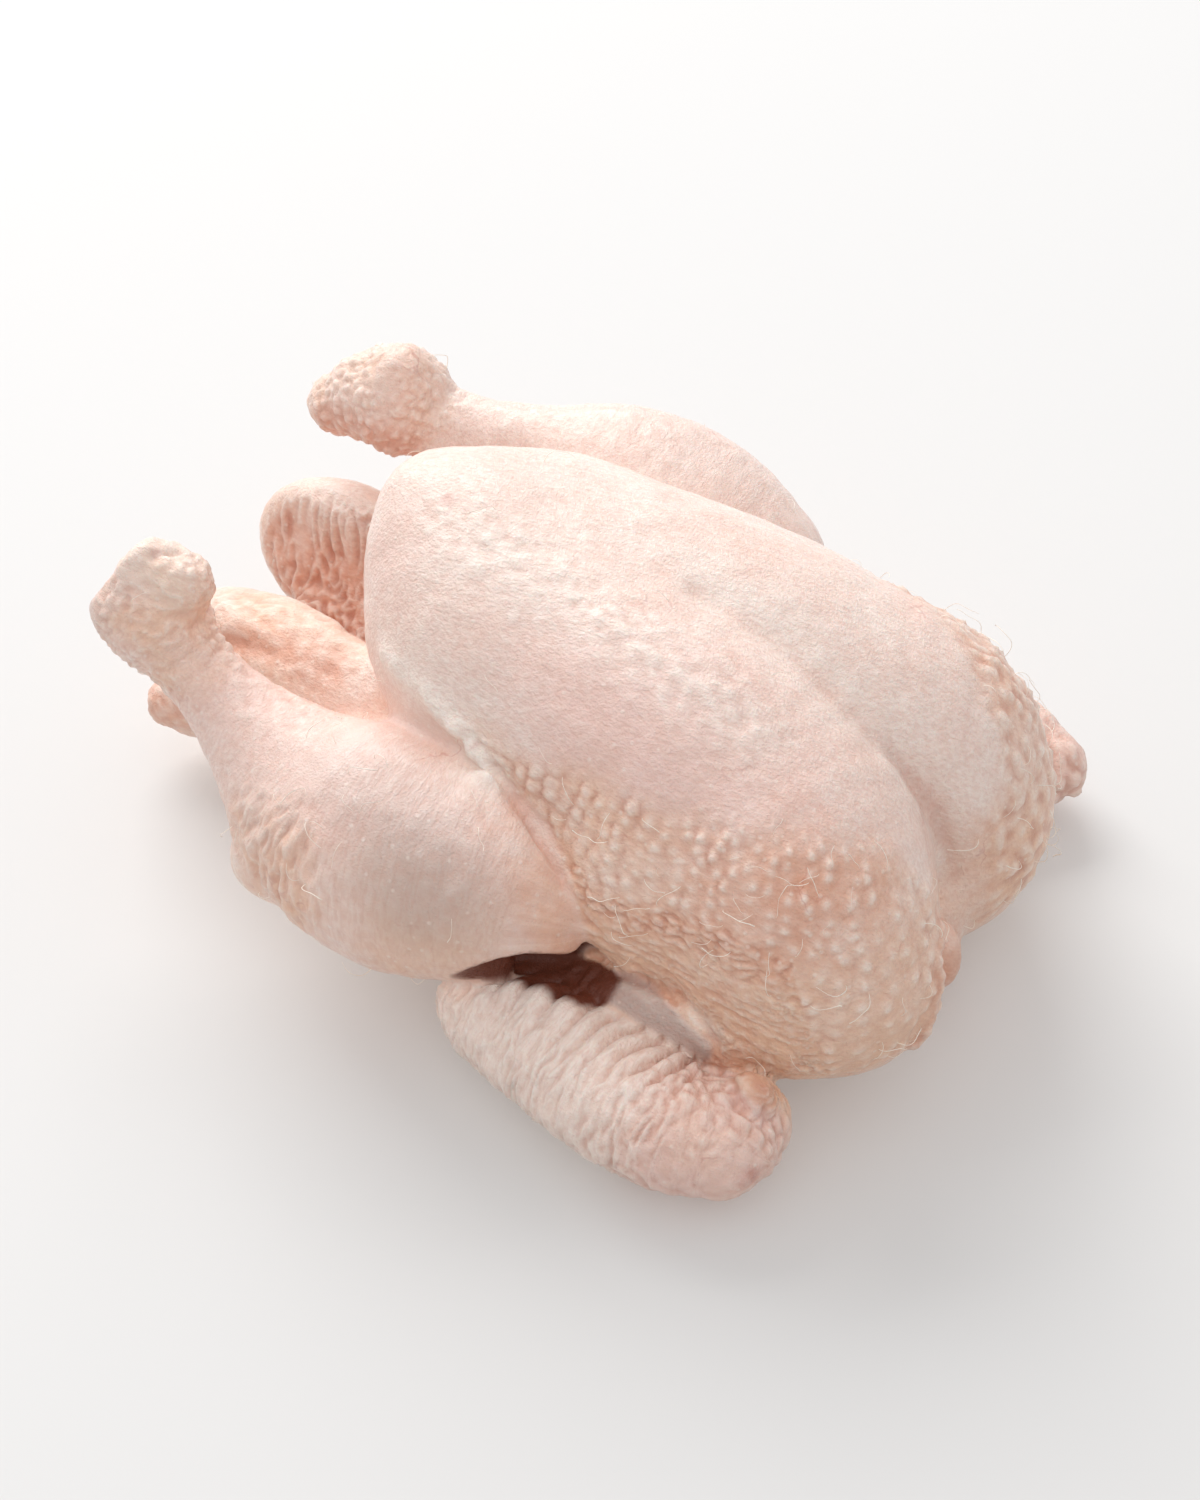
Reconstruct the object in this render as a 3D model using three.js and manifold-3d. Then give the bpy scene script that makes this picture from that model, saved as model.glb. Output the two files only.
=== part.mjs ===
// A whole raw turkey, plucked and drawn, lying on its back with the breast up.
// Millimetres. +X points to the neck, +Z up, -Y is the bird's left side.
// The body is one skin: rounded muscles are blended into each other as a distance field,
// the body cavity is carved out of it, the skin is traced on a grid, and the underside is cut flat.
import * as THREE from "three";
import Module from "manifold-3d";

// ---------- driving dimensions ----------

const LEFT = -1;
const RIGHT = 1;

// The grid that the skin is traced on.
const GRID_STEP = 9.8;
const GRID_LOW = [-206, -170, -26];
const GRID_HIGH = [216, 172, 200];
const SETTLE_ROUNDS = 3;
const SPLINE_STEPS = 4;

// Limbs are stations along a centre line, [x, y, z, radius]. A limb that both sides share is given
// for the right side and mirrored for the left.
const BREAST_LOBE = [
  [-47, 3, 150, 24],
  [-30, 6, 134, 43],
  [-8, 14, 119, 56],
  [22, 17, 112, 60],
  [66, 23, 104, 62],
  [100, 28, 93, 62],
  [132, 42, 81, 56],
  [150, 49, 61, 46],
];
const KEEL_END = [
  [-50, 0, 156, 16],
  [-45, 0, 126, 20],
  [-24, 0, 94, 34],
];
const BACK = { centre: [34, 0, 44], radii: [136, 72, 50] };
const PELVIS = { centre: [-74, 4, 34], radii: [84, 46, 38] };
const LEFT_SHOULDER = { centre: [149, -42, 41], radii: [41, 38, 40] };
const RIGHT_SHOULDER = { centre: [149, 44, 40], radii: [42, 45, 43] };
const THIGH = { centre: [2, 64, 44], radii: [70, 42, 44] };
const SKIN_WEB = [
  [-14, 54, 94, 12],
  [20, 66, 90, 12],
];

// The two legs lie differently: the right knee is pushed up and forwards.
const LEFT_LEG = [
  [-139, -77, 123, 19],
  [-134, -78, 121, 21.5],
  [-116, -82, 108, 15.5],
  [-98, -85, 98, 16.5],
  [-76, -89, 88, 22.5],
  [-44, -94, 75, 36.5],
  [-11, -97, 72.5, 46],
  [22, -95, 74, 41],
  [48, -90, 72, 29],
];
const RIGHT_LEG = [
  [-131, 76, 121, 19],
  [-121, 77, 125, 22],
  [-104, 80, 118, 16.5],
  [-80, 84, 118, 15],
  [-52, 90, 119, 18],
  [-22, 95, 111, 32],
  [6, 97, 94, 42],
  [32, 97, 84, 36],
];
// Cut hock joints end in knobs: [x, y, z, radius].
const LEFT_HOCK_KNOBS = [
  [-136, -75, 146, 8.5],
  [-121, -72, 146, 8.5],
  [-140, -76, 134, 9],
  [-149, -77, 122, 9],
];
const RIGHT_HOCK_KNOBS = [
  [-153, 70, 112, 7],
  [-137, 72, 130, 8],
  [-117, 73, 144, 10],
];
const CALF_FOLD = { centre: [-58, -114, 52], radii: [15, 13, 14] };

const UPPER_WING = [
  [150, 70, 48, 26],
  [100, 88, 34, 19],
  [42, 102, 22, 15],
];
const LEFT_FOREARM = [
  [32, -109, 20, 14],
  [46, -114, 23, 20],
  [72, -119, 25, 23.5],
  [104, -125, 25.5, 25.5],
  [132, -127, 25, 25],
  [149, -122, 24, 23],
];
const RIGHT_FOREARM = [
  [32, 106, 20, 15],
  [46, 110, 23, 20],
  [72, 115, 25, 23],
  [104, 119, 26, 24],
  [140, 123, 26, 21],
  [166, 121, 22, 17],
];
const FOREARM_FLATNESS = 0.92;
const WING_TIP = [
  [153, 108, 22, 18],
  [134, 88, 12, 12],
  [96, 66, 10, 9],
];
// Flesh behind each upper wing, and the dark hollow between the left wing, leg and breast.
const ARM_FLESH = { centre: [92, 70, 24], radii: [30, 22, 24] };
const ARMPIT_GAP = { centre: [64, -99, 50], radii: [26, 10, 15] };

// The tail end: a thick lip of belly skin on each side of the cut, and the tail bent to the left.
const LEFT_LIP = [
  [-152, -25, 58, 18],
  [-130, -28, 66, 23],
  [-100, -30, 68, 25],
  [-62, -34, 64, 27],
];
const RIGHT_LIP = { centre: [-125, 53, 44], radii: [55, 20, 46] };
const TAIL = [
  [-161, -42, 28, 9.5],
  [-148, -31, 27, 16],
  [-116, -10, 24, 24],
];
const CAVITY = [
  [-210, 14, 78, 27],
  [-150, 14, 66, 27],
  [-100, 13, 66, 29],
  [-50, 6, 76, 31],
  [2, 0, 84, 28],
];
const NECK_SKIN = [
  [166, 6, 42, 12],
  [173, 2, 21, 12],
  [168, -10, 10, 9],
];

// How widely neighbours melt into each other.
const BLEND = {
  pelvis: 24,
  keel: 16,
  lobe: 12,
  shoulder: 14,
  thigh: 20,
  web: 16,
  knob: 12,
  leg: 12,
  elbow: 7,
  wing: 8,
  arm: 10,
  tail: 14,
  lip: 16,
  cavity: 9,
  gap: 6,
  neck: 9,
};

// How the traced skin is evened out: share of the way to the neighbours' mean, the offset that slopes
// are measured over in mm, the longest move in grid steps, and the least slope that a move trusts.
const PULL_TO_MEAN = 0.5;
const SLOPE_OFFSET = 0.5;
const LONGEST_MOVE = 0.4;
const LEAST_STEEPNESS = 0.2;

// The block under the table top that the resting side is cut flat with, [width, depth, height].
const TABLE_BLOCK = [600, 600, 100];

// ---------- distance field: below zero is inside the flesh ----------

function join(a, b, blend) {
  const overlap = Math.max(blend - Math.abs(a - b), 0) / blend;
  return Math.min(a, b) - overlap * overlap * blend * 0.25;
}

function carve(body, tool, blend) {
  return -join(-body, tool, blend);
}

function mirrored(stations, side) {
  return stations.map(([x, y, z, radius]) => [x, y * side, z, radius]);
}

// A rounded tube whose centre line and radius both follow Catmull-Rom curves.
function limb(stations, flatness = 1) {
  const centres = stations.map(([x, y, z]) => new THREE.Vector3(x, y, z));
  const radii = stations.map((station) => new THREE.Vector3(station[3], 0, 0));
  const centreLine = new THREE.CatmullRomCurve3(centres, false, "catmullrom", 0.5);
  const radiusLine = new THREE.CatmullRomCurve3(radii, false, "catmullrom", 0.5);
  const steps = (stations.length - 1) * SPLINE_STEPS;
  const points = centreLine.getPoints(steps);
  const sizes = radiusLine.getPoints(steps).map((point) => point.x);
  return (x, y, z) => {
    let nearest = Infinity;
    for (let i = 0; i < steps; i += 1) {
      const a = points[i];
      const b = points[i + 1];
      const dx = b.x - a.x;
      const dy = b.y - a.y;
      const dz = b.z - a.z;
      const along = (x - a.x) * dx + (y - a.y) * dy + (z - a.z) * dz;
      const t = THREE.MathUtils.clamp(along / (dx * dx + dy * dy + dz * dz), 0, 1);
      const offX = x - a.x - t * dx;
      const offY = y - a.y - t * dy;
      const offZ = (z - a.z - t * dz) / flatness;
      const radius = sizes[i] + (sizes[i + 1] - sizes[i]) * t;
      nearest = Math.min(nearest, Math.hypot(offX, offY, offZ) - radius);
    }
    return nearest * flatness;
  };
}

function ellipsoid({ centre, radii }, side = RIGHT) {
  const [cx, cy, cz] = centre;
  const [rx, ry, rz] = radii;
  return (x, y, z) => {
    const px = (x - cx) / rx;
    const py = (y - cy * side) / ry;
    const pz = (z - cz) / rz;
    const reach = Math.hypot(px, py, pz);
    const steepness = Math.hypot(px / rx, py / ry, pz / rz);
    return (reach * (reach - 1)) / Math.max(steepness, 1e-9);
  };
}

const knob = ([x, y, z, radius]) => ellipsoid({ centre: [x, y, z], radii: [radius, radius, radius] });

// ---------- the bird's regions ----------

function torso() {
  const back = ellipsoid(BACK);
  const pelvis = ellipsoid(PELVIS);
  const keel = limb(KEEL_END);
  const lobes = [LEFT, RIGHT].map((side) => limb(mirrored(BREAST_LOBE, side)));
  const shoulders = [LEFT_SHOULDER, RIGHT_SHOULDER].map((shoulder) => ellipsoid(shoulder));
  return (x, y, z) => {
    let skin = join(back(x, y, z), pelvis(x, y, z), BLEND.pelvis);
    skin = join(skin, keel(x, y, z), BLEND.keel);
    for (let i = 0; i < lobes.length; i += 1) {
      skin = join(skin, lobes[i](x, y, z), BLEND.lobe);
      skin = join(skin, shoulders[i](x, y, z), BLEND.shoulder);
    }
    return skin;
  };
}

function tailEnd(body) {
  const tail = limb(TAIL);
  const leftLip = limb(LEFT_LIP);
  const rightLip = ellipsoid(RIGHT_LIP);
  const cavity = limb(CAVITY);
  return (x, y, z) => {
    let skin = join(body(x, y, z), tail(x, y, z), BLEND.tail);
    skin = join(skin, leftLip(x, y, z), BLEND.lip);
    skin = join(skin, rightLip(x, y, z), BLEND.lip);
    return carve(skin, cavity(x, y, z), BLEND.cavity);
  };
}

function leg(stations, knobStations, side, fold) {
  const shape = limb(stations);
  const knobs = knobStations.map(knob);
  const thigh = ellipsoid(THIGH, side);
  const web = limb(mirrored(SKIN_WEB, side));
  const bulge = fold && ellipsoid(fold);
  return (x, y, z) => {
    let skin = shape(x, y, z);
    for (const end of knobs) skin = join(skin, end(x, y, z), BLEND.knob);
    skin = join(skin, thigh(x, y, z), BLEND.thigh);
    if (bulge) skin = join(skin, bulge(x, y, z), BLEND.knob);
    return join(skin, web(x, y, z), BLEND.web);
  };
}

function wing(forearmStations, side) {
  const upper = limb(mirrored(UPPER_WING, side));
  const forearm = limb(forearmStations, FOREARM_FLATNESS);
  const tip = limb(mirrored(WING_TIP, side));
  return (x, y, z) => {
    const outer = join(forearm(x, y, z), tip(x, y, z), BLEND.wing);
    return join(upper(x, y, z), outer, BLEND.elbow);
  };
}

function bird() {
  const body = tailEnd(torso());
  const legs = [
    leg(LEFT_LEG, LEFT_HOCK_KNOBS, LEFT, CALF_FOLD),
    leg(RIGHT_LEG, RIGHT_HOCK_KNOBS, RIGHT, null),
  ];
  const wings = [wing(LEFT_FOREARM, LEFT), wing(RIGHT_FOREARM, RIGHT)];
  const armFlesh = [LEFT, RIGHT].map((side) => ellipsoid(ARM_FLESH, side));
  const gap = ellipsoid(ARMPIT_GAP);
  const neckSkin = limb(NECK_SKIN);
  return (x, y, z) => {
    let skin = body(x, y, z);
    for (const one of legs) skin = join(skin, one(x, y, z), BLEND.leg);
    for (const one of armFlesh) skin = join(skin, one(x, y, z), BLEND.arm);
    skin = carve(skin, gap(x, y, z), BLEND.gap);
    for (const one of wings) skin = join(skin, one(x, y, z), BLEND.wing);
    return join(skin, neckSkin(x, y, z), BLEND.neck);
  };
}

// ---------- tracing the skin ----------

const CUBE_CORNERS = [0, 1, 2, 3, 4, 5, 6, 7].map((n) => [n & 1, (n >> 1) & 1, (n >> 2) & 1]);
const CUBE_EDGES = CUBE_CORNERS.flatMap((a, i) =>
  CUBE_CORNERS.flatMap((b, j) => {
    const steps = Math.abs(a[0] - b[0]) + Math.abs(a[1] - b[1]) + Math.abs(a[2] - b[2]);
    return j > i && steps === 1 ? [[a, b]] : [];
  }),
);

// The corners of a cube are numbered so that neighbours differ by one of these.
const NEIGHBOUR_BITS = [1, 2, 4];

// Whether the corners inside the flesh hang together along the cube's edges, and the ones outside too.
function isOneSheet(insideMask) {
  const groups = [1, 0].map((wanted) => {
    const corners = CUBE_CORNERS.map((_, n) => n).filter((n) => ((insideMask >> n) & 1) === wanted);
    const reached = new Set(corners.slice(0, 1));
    for (const from of reached)
      for (const to of corners) if (NEIGHBOUR_BITS.includes(from ^ to)) reached.add(to);
    return reached.size === corners.length;
  });
  return groups[0] && groups[1];
}

const ONE_SHEET = Array.from({ length: 256 }, (_, mask) => isOneSheet(mask));

// One vertex in each grid cell that the skin passes through, and one quad for each grid edge it crosses.
function traceSkin(field, low, high, step) {
  const counts = low.map((start, axis) => Math.ceil((high[axis] - start) / step) + 1);
  const index = ([i, j, k]) => (i * counts[1] + j) * counts[2] + k;
  const samples = new Float64Array(counts[0] * counts[1] * counts[2]);
  const cells = new Map();
  const vertices = [];
  const triangles = [];
  const forEachCell = (visit) => {
    for (let i = 0; i < counts[0]; i += 1)
      for (let j = 0; j < counts[1]; j += 1)
        for (let k = 0; k < counts[2]; k += 1) visit([i, j, k]);
  };
  const shifted = (cell, offset) => cell.map((value, axis) => value + offset[axis]);
  const position = (cell) => cell.map((value, axis) => low[axis] + value * step);
  const isLast = (cell) => cell.some((value, axis) => value >= counts[axis] - 1);

  forEachCell((cell) => {
    samples[index(cell)] = field(...position(cell));
  });

  // A cleft too narrow for the grid would pinch the skin to a line, so it is filled.
  const justInside = -step * 0.01;
  let pinched = true;
  while (pinched) {
    pinched = false;
    forEachCell((cell) => {
      if (isLast(cell)) return;
      const corners = CUBE_CORNERS.map((offset) => index(shifted(cell, offset)));
      const mask = corners.reduce((bits, at, n) => bits | ((samples[at] < 0 ? 1 : 0) << n), 0);
      if (ONE_SHEET[mask]) return;
      const outside = corners.filter((at) => samples[at] >= 0);
      const shallowest = outside.reduce((best, at) => (samples[at] < samples[best] ? at : best));
      samples[shallowest] = justInside;
      pinched = true;
    });
  }

  forEachCell((cell) => {
    if (isLast(cell)) return;
    const sum = [0, 0, 0];
    let crossings = 0;
    for (const [from, to] of CUBE_EDGES) {
      const a = samples[index(shifted(cell, from))];
      const b = samples[index(shifted(cell, to))];
      if (a < 0 === b < 0) continue;
      const t = a / (a - b);
      for (let axis = 0; axis < 3; axis += 1) sum[axis] += from[axis] + t * (to[axis] - from[axis]);
      crossings += 1;
    }
    if (!crossings) return;
    cells.set(index(cell), vertices.length);
    vertices.push(position(shifted(cell, sum.map((value) => value / crossings))));
  });

  forEachCell((cell) => {
    for (let axis = 0; axis < 3; axis += 1) {
      const u = (axis + 1) % 3;
      const v = (axis + 2) % 3;
      if (cell[axis] >= counts[axis] - 1 || cell[u] < 1 || cell[v] < 1) continue;
      const next = cell.slice();
      next[axis] += 1;
      const startsInside = samples[index(cell)] < 0;
      if (startsInside === samples[index(next)] < 0) continue;
      const corner = (du, dv) => {
        const at = cell.slice();
        at[u] -= du;
        at[v] -= dv;
        return cells.get(index(at));
      };
      const quad = [corner(1, 1), corner(0, 1), corner(0, 0), corner(1, 0)];
      if (!startsInside) quad.reverse();
      const [a, b, c, d] = quad;
      const span = (p, q) => Math.hypot(...vertices[p].map((value, i) => value - vertices[q][i]));
      if (span(a, c) <= span(b, d)) triangles.push([a, b, c], [a, c, d]);
      else triangles.push([a, b, d], [b, c, d]);
    }
  });
  return { vertices, triangles };
}

// Evens out the triangles, and puts each vertex back on the true skin after every round.
function settle({ vertices, triangles }, field, rounds) {
  const neighbours = vertices.map(() => new Set());
  for (const [a, b, c] of triangles) {
    neighbours[a].add(b).add(c);
    neighbours[b].add(a).add(c);
    neighbours[c].add(a).add(b);
  }
  const nudge = SLOPE_OFFSET;
  const largestMove = GRID_STEP * LONGEST_MOVE;
  let places = vertices;
  for (let round = 0; round < rounds; round += 1) {
    const averaged = places.map((place, i) => {
      const ring = [...neighbours[i]];
      return place.map((value, axis) => {
        const mean = ring.reduce((total, n) => total + places[n][axis], 0) / ring.length;
        return value + (mean - value) * PULL_TO_MEAN;
      });
    });
    places = averaged.map(([x, y, z]) => {
      const value = field(x, y, z);
      const slope = [
        (field(x + nudge, y, z) - field(x - nudge, y, z)) / (2 * nudge),
        (field(x, y + nudge, z) - field(x, y - nudge, z)) / (2 * nudge),
        (field(x, y, z + nudge) - field(x, y, z - nudge)) / (2 * nudge),
      ];
      const steepness = Math.max(slope[0] ** 2 + slope[1] ** 2 + slope[2] ** 2, LEAST_STEEPNESS);
      const move = THREE.MathUtils.clamp(value / steepness, -largestMove, largestMove);
      return [x - slope[0] * move, y - slope[1] * move, z - slope[2] * move];
    });
  }
  return { vertices: places, triangles };
}

// ---------- solid and mesh ----------

const wasm = await Module();
wasm.setup();

function solidFrom(vertexNumbers, triangleNumbers) {
  const mesh = new wasm.Mesh({
    numProp: 3,
    vertProperties: new Float32Array(vertexNumbers),
    triVerts: new Uint32Array(triangleNumbers),
  });
  return new wasm.Manifold(mesh);
}

// A closed box under the table top, with its corners merged.
function ground() {
  const [width, depth, height] = TABLE_BLOCK;
  const box = new THREE.BoxGeometry(width, depth, height);
  box.translate(0, 0, -height / 2);
  const place = box.getAttribute("position");
  const corners = new Map();
  const numbers = [];
  const order = [...box.index.array].map((i) => {
    const point = [place.getX(i), place.getY(i), place.getZ(i)];
    const key = point.join();
    if (!corners.has(key)) {
      corners.set(key, corners.size);
      numbers.push(...point);
    }
    return corners.get(key);
  });
  return solidFrom(numbers, order);
}

function turkeyGeometry() {
  const field = bird();
  const skin = settle(traceSkin(field, GRID_LOW, GRID_HIGH, GRID_STEP), field, SETTLE_ROUNDS);
  const whole = solidFrom(skin.vertices.flat(), skin.triangles.flat());
  const resting = whole.subtract(ground()).getMesh();
  const geometry = new THREE.BufferGeometry();
  geometry.setAttribute("position", new THREE.BufferAttribute(resting.vertProperties, 3));
  geometry.setIndex(new THREE.BufferAttribute(resting.triVerts, 1));
  // The origin is on the table top, under the middle of the bird's outline.
  geometry.computeBoundingBox();
  const middle = geometry.boundingBox.getCenter(new THREE.Vector3());
  geometry.translate(-middle.x, -middle.y, 0);
  geometry.computeVertexNormals();
  return geometry;
}

const rawSkin = new THREE.MeshStandardMaterial({ color: 0xecd6cd, roughness: 0.48, metalness: 0 });

const turkey = new THREE.Mesh(turkeyGeometry(), rawSkin);
turkey.name = "turkey";

const part = new THREE.Group();
part.add(turkey);

export default part;
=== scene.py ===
"""Whole raw turkey, plucked and drawn, lying on its back: skin, fine hairs and studio stage.

The bird is drawn in millimetres as rounded muscles that melt into each other. A fine skin is traced
over them, raised into follicle bumps, folds, wrinkles and creases, and moved to the part's frame.
"""

import itertools
import math

import bpy
import numpy as np
from mathutils import Matrix, Vector, noise


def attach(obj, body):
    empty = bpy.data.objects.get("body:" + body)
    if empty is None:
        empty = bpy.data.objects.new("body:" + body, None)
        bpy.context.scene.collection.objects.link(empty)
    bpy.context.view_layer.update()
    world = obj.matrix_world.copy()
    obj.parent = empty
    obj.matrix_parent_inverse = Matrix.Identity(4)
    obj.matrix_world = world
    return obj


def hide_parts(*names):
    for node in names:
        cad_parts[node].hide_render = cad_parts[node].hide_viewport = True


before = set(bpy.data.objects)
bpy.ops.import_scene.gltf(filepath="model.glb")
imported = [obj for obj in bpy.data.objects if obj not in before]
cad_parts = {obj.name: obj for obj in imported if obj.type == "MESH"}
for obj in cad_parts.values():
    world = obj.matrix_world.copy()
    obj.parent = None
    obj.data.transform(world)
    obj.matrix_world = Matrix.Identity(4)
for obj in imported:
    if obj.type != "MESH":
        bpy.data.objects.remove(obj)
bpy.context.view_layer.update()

bl_info = {
    "name": "Whole raw turkey",
    "version": (1, 0, 0),
    "blender": (4, 5, 0),
    "location": "3D View > Sidebar > Turkey",
    "description": "Builds the skin, hairs and studio stage of a whole raw turkey",
    "category": "Object",
}

MM = 0.001
LEFT, RIGHT = -1, 1

# Where the part's origin lies in the drawing that the forms below are given in.
MIDDLE = np.array([8.36, -3.96, 0.0])

# ---------- driving dimensions, in millimetres ----------
# Limbs are stations along a centre line, (x, y, z, radius). A shared limb is given for the right side.

BREAST_LOBE = [
    (-47, 3, 150, 24), (-30, 6, 134, 43), (-8, 14, 119, 56), (22, 17, 112, 60),
    (66, 23, 104, 62), (100, 28, 93, 62), (132, 42, 81, 56), (150, 49, 61, 46),
]
KEEL_END = [(-50, 0, 156, 16), (-45, 0, 126, 20), (-24, 0, 94, 34)]
BACK = ((34, 0, 44), (136, 72, 50))
PELVIS = ((-74, 4, 34), (84, 46, 38))
BREAST_SIDE = ((84, 72, 82), (33, 27, 34))
SHOULDERS = {LEFT: ((149, -42, 41), (41, 38, 40)), RIGHT: ((149, 44, 40), (42, 45, 43))}
THIGH = ((2, 64, 44), (70, 42, 44))
SKIN_WEB = [(-14, 54, 94, 12), (20, 66, 90, 12)]
LEGS = {
    LEFT: [
        (-139, -77, 123, 19), (-134, -78, 121, 21.5), (-116, -82, 108, 15.5), (-98, -85, 98, 16.5),
        (-76, -89, 88, 22.5), (-44, -94, 75, 36.5), (-11, -97, 72.5, 46), (22, -95, 74, 41),
        (48, -90, 72, 29),
    ],
    RIGHT: [
        (-131, 76, 121, 19), (-121, 77, 125, 22), (-104, 80, 118, 16.5), (-80, 84, 118, 15),
        (-52, 90, 119, 18), (-22, 95, 111, 32), (6, 97, 94, 42), (32, 97, 84, 36),
    ],
}
HOCK_KNOBS = {
    LEFT: [
        (-136, -75, 146, 8.5), (-121, -72, 146, 8.5), (-140, -76, 134, 9), (-149, -77, 122, 9),
        (-116, -75, 138, 7.5),
    ],
    RIGHT: [(-153, 70, 112, 7), (-146, 72, 117, 11), (-137, 72, 130, 8), (-117, 73, 144, 10)],
}
CALF_FOLD = ((-58, -114, 52), (15, 13, 14))
UPPER_WING = [(150, 70, 48, 26), (100, 88, 34, 19), (42, 102, 22, 15)]
FOREARMS = {
    LEFT: [
        (32, -109, 20, 14), (46, -114, 23, 20), (72, -119, 25, 23.5), (104, -125, 25.5, 25.5),
        (132, -127, 25, 25), (149, -122, 24, 23),
    ],
    RIGHT: [
        (32, 106, 20, 15), (46, 110, 23, 20), (72, 115, 25, 23), (104, 119, 26, 24),
        (140, 123, 26, 21), (166, 121, 22, 17),
    ],
}
FOREARM_FLATNESS = 0.92
WING_TIP = [(153, 108, 22, 18), (134, 88, 12, 12), (96, 66, 10, 9)]
# The left wrist's thumb stands off the forearm by a crevice.
THUMB = ((155, -109, 38), (11, 9, 11))
ARM_FLESH = ((92, 70, 24), (30, 22, 24))
ARMPIT_GAP = ((65, -98, 48), (26, 10.5, 18))
GAP_UNDER_LEG = [(42, -133, 48, 8), (56, -124, 54, 14), (66, -114, 55, 15), (76, -102, 52, 11)]
# A place on each flat side of the left hock and the direction that the side faces, then the ball of flesh
# that the sides cut.
HOCK_SIDES = [((-147, -93, 140), (-0.87, 0.04, 0.49)), ((-122, -72, 152.5), (0.25, 0.25, 0.93))]
HOCK_BALL = ((-132, -76, 136), (32, 32, 32))
LEFT_LIP = [(-152, -25, 58, 18), (-130, -28, 66, 23), (-100, -30, 68, 25), (-62, -34, 64, 27)]
RIGHT_LIP = ((-125, 53, 44), (55, 20, 46))
TAIL = [(-161, -42, 28, 9.5), (-148, -31, 27, 16), (-116, -10, 24, 24)]
CAVITY = [(-210, 14, 78, 27), (-150, 14, 66, 27), (-100, 13, 66, 29), (-50, 6, 76, 31), (2, 0, 84, 28)]
NECK_SKIN = [(166, 6, 42, 12), (173, 2, 21, 12), (168, -10, 10, 9)]
# The edge where the breast skin was cut at the neck, and the neck skin that hangs behind it.
NECK_EDGE = ((190, -41, 53), (7, 10, 25))
NECK_FLAP = ((179, -6, 34), (11, 9, 18))

# How widely neighbours melt into each other. The leg meets the breast in a tight crease.
BLEND = {
    "pelvis": 24, "keel": 16, "lobe": 11, "shoulder": 14, "thigh": 20, "web": 16, "knob": 12, "leg": 7,
    "elbow": 6, "wing": 6, "arm": 10, "tail": 14, "lip": 16, "cavity": 9, "gap": 6, "neck": 9, "edge": 5,
    "flap": 2, "thumb": 2.5, "cut": 3, "table": 7,
}
SPLINE_STEPS = 4
# The traced space, the grid cells along a block's side, and how many places are worked out at a time.
GRID_LOW = np.array([-204.0, -168.0, -8.0])
GRID_HIGH = np.array([214.0, 168.0, 196.0])
BLOCK, BATCH = 4, 200000
# A block is worked out if its middle is nearer to the skin than this share of its side and this many mm.
NEAR_SHARE, NEAR_SLACK = 0.9, 6
# Settling moves a vertex by this share of the way to its neighbours' middle, and back to the skin by no more
# than this share of the grid's step.
EASE, BACK_LIMIT = 0.6, 0.3

# ---------- distance field: below zero is inside the flesh ----------


def join(a, b, blend):
    overlap = np.maximum(blend - np.abs(a - b), 0) / blend
    return np.minimum(a, b) - overlap * overlap * blend * 0.25


def carve(body, tool, blend):
    return -join(-body, tool, blend)


def mirrored(stations, side):
    return [(x, y * side, z, radius) for x, y, z, radius in stations]


def spline(stations):
    """Catmull-Rom points through the stations, radius included."""
    given = np.array(stations, float)
    ends = np.vstack([2 * given[0] - given[1], given, 2 * given[-1] - given[-2]])
    points = []
    for a, b, c, d in zip(ends, ends[1:], ends[2:], ends[3:]):
        for t in np.arange(SPLINE_STEPS) / SPLINE_STEPS:
            points.append(0.5 * (2 * b + (c - a) * t + (2 * a - 5 * b + 4 * c - d) * t * t
                                 + (3 * b - a - 3 * c + d) * t ** 3))
    return np.array(points + [given[-1]])


def limb(p, stations, flatness=1.0):
    """Distance to a rounded tube whose centre line and radius both follow a spline."""
    line = spline(stations)
    nearest = np.full(len(p), np.inf)
    for start, end in zip(line, line[1:]):
        axis = end[:3] - start[:3]
        off = p - start[:3]
        t = np.clip(off @ axis / (axis @ axis), 0, 1)
        off = off - t[:, None] * axis
        off[:, 2] /= flatness
        radius = start[3] + (end[3] - start[3]) * t
        nearest = np.minimum(nearest, np.sqrt((off * off).sum(1)) - radius)
    return nearest * flatness


def ellipsoid(p, form, side=RIGHT):
    centre, radii = np.array(form[0], float), np.array(form[1], float)
    scaled = (p - centre * (1, side, 1)) / radii
    reach = np.sqrt((scaled * scaled).sum(1))
    steepness = np.sqrt(((scaled / radii) ** 2).sum(1))
    return reach * (reach - 1) / np.maximum(steepness, 1e-9)


def torso(p):
    skin = join(ellipsoid(p, BACK), ellipsoid(p, PELVIS), BLEND["pelvis"])
    skin = join(skin, limb(p, KEEL_END), BLEND["keel"])
    for side in (LEFT, RIGHT):
        skin = join(skin, limb(p, mirrored(BREAST_LOBE, side)), BLEND["lobe"])
        skin = join(skin, ellipsoid(p, BREAST_SIDE, side), BLEND["shoulder"])
        skin = join(skin, ellipsoid(p, SHOULDERS[side]), BLEND["shoulder"])
    return skin


def leg(p, side):
    skin = limb(p, LEGS[side])
    for x, y, z, radius in HOCK_KNOBS[side]:
        skin = join(skin, ellipsoid(p, ((x, y, z), (radius,) * 3)), BLEND["knob"])
    skin = join(skin, ellipsoid(p, THIGH, side), BLEND["thigh"])
    if side == LEFT:
        skin = join(skin, ellipsoid(p, CALF_FOLD), BLEND["knob"])
        for place, facing in HOCK_SIDES:
            beyond = np.maximum(ellipsoid(p, HOCK_BALL), (place - p) @ facing)
            skin = carve(skin, beyond, BLEND["cut"])
    return join(skin, limb(p, mirrored(SKIN_WEB, side)), BLEND["web"])


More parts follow.
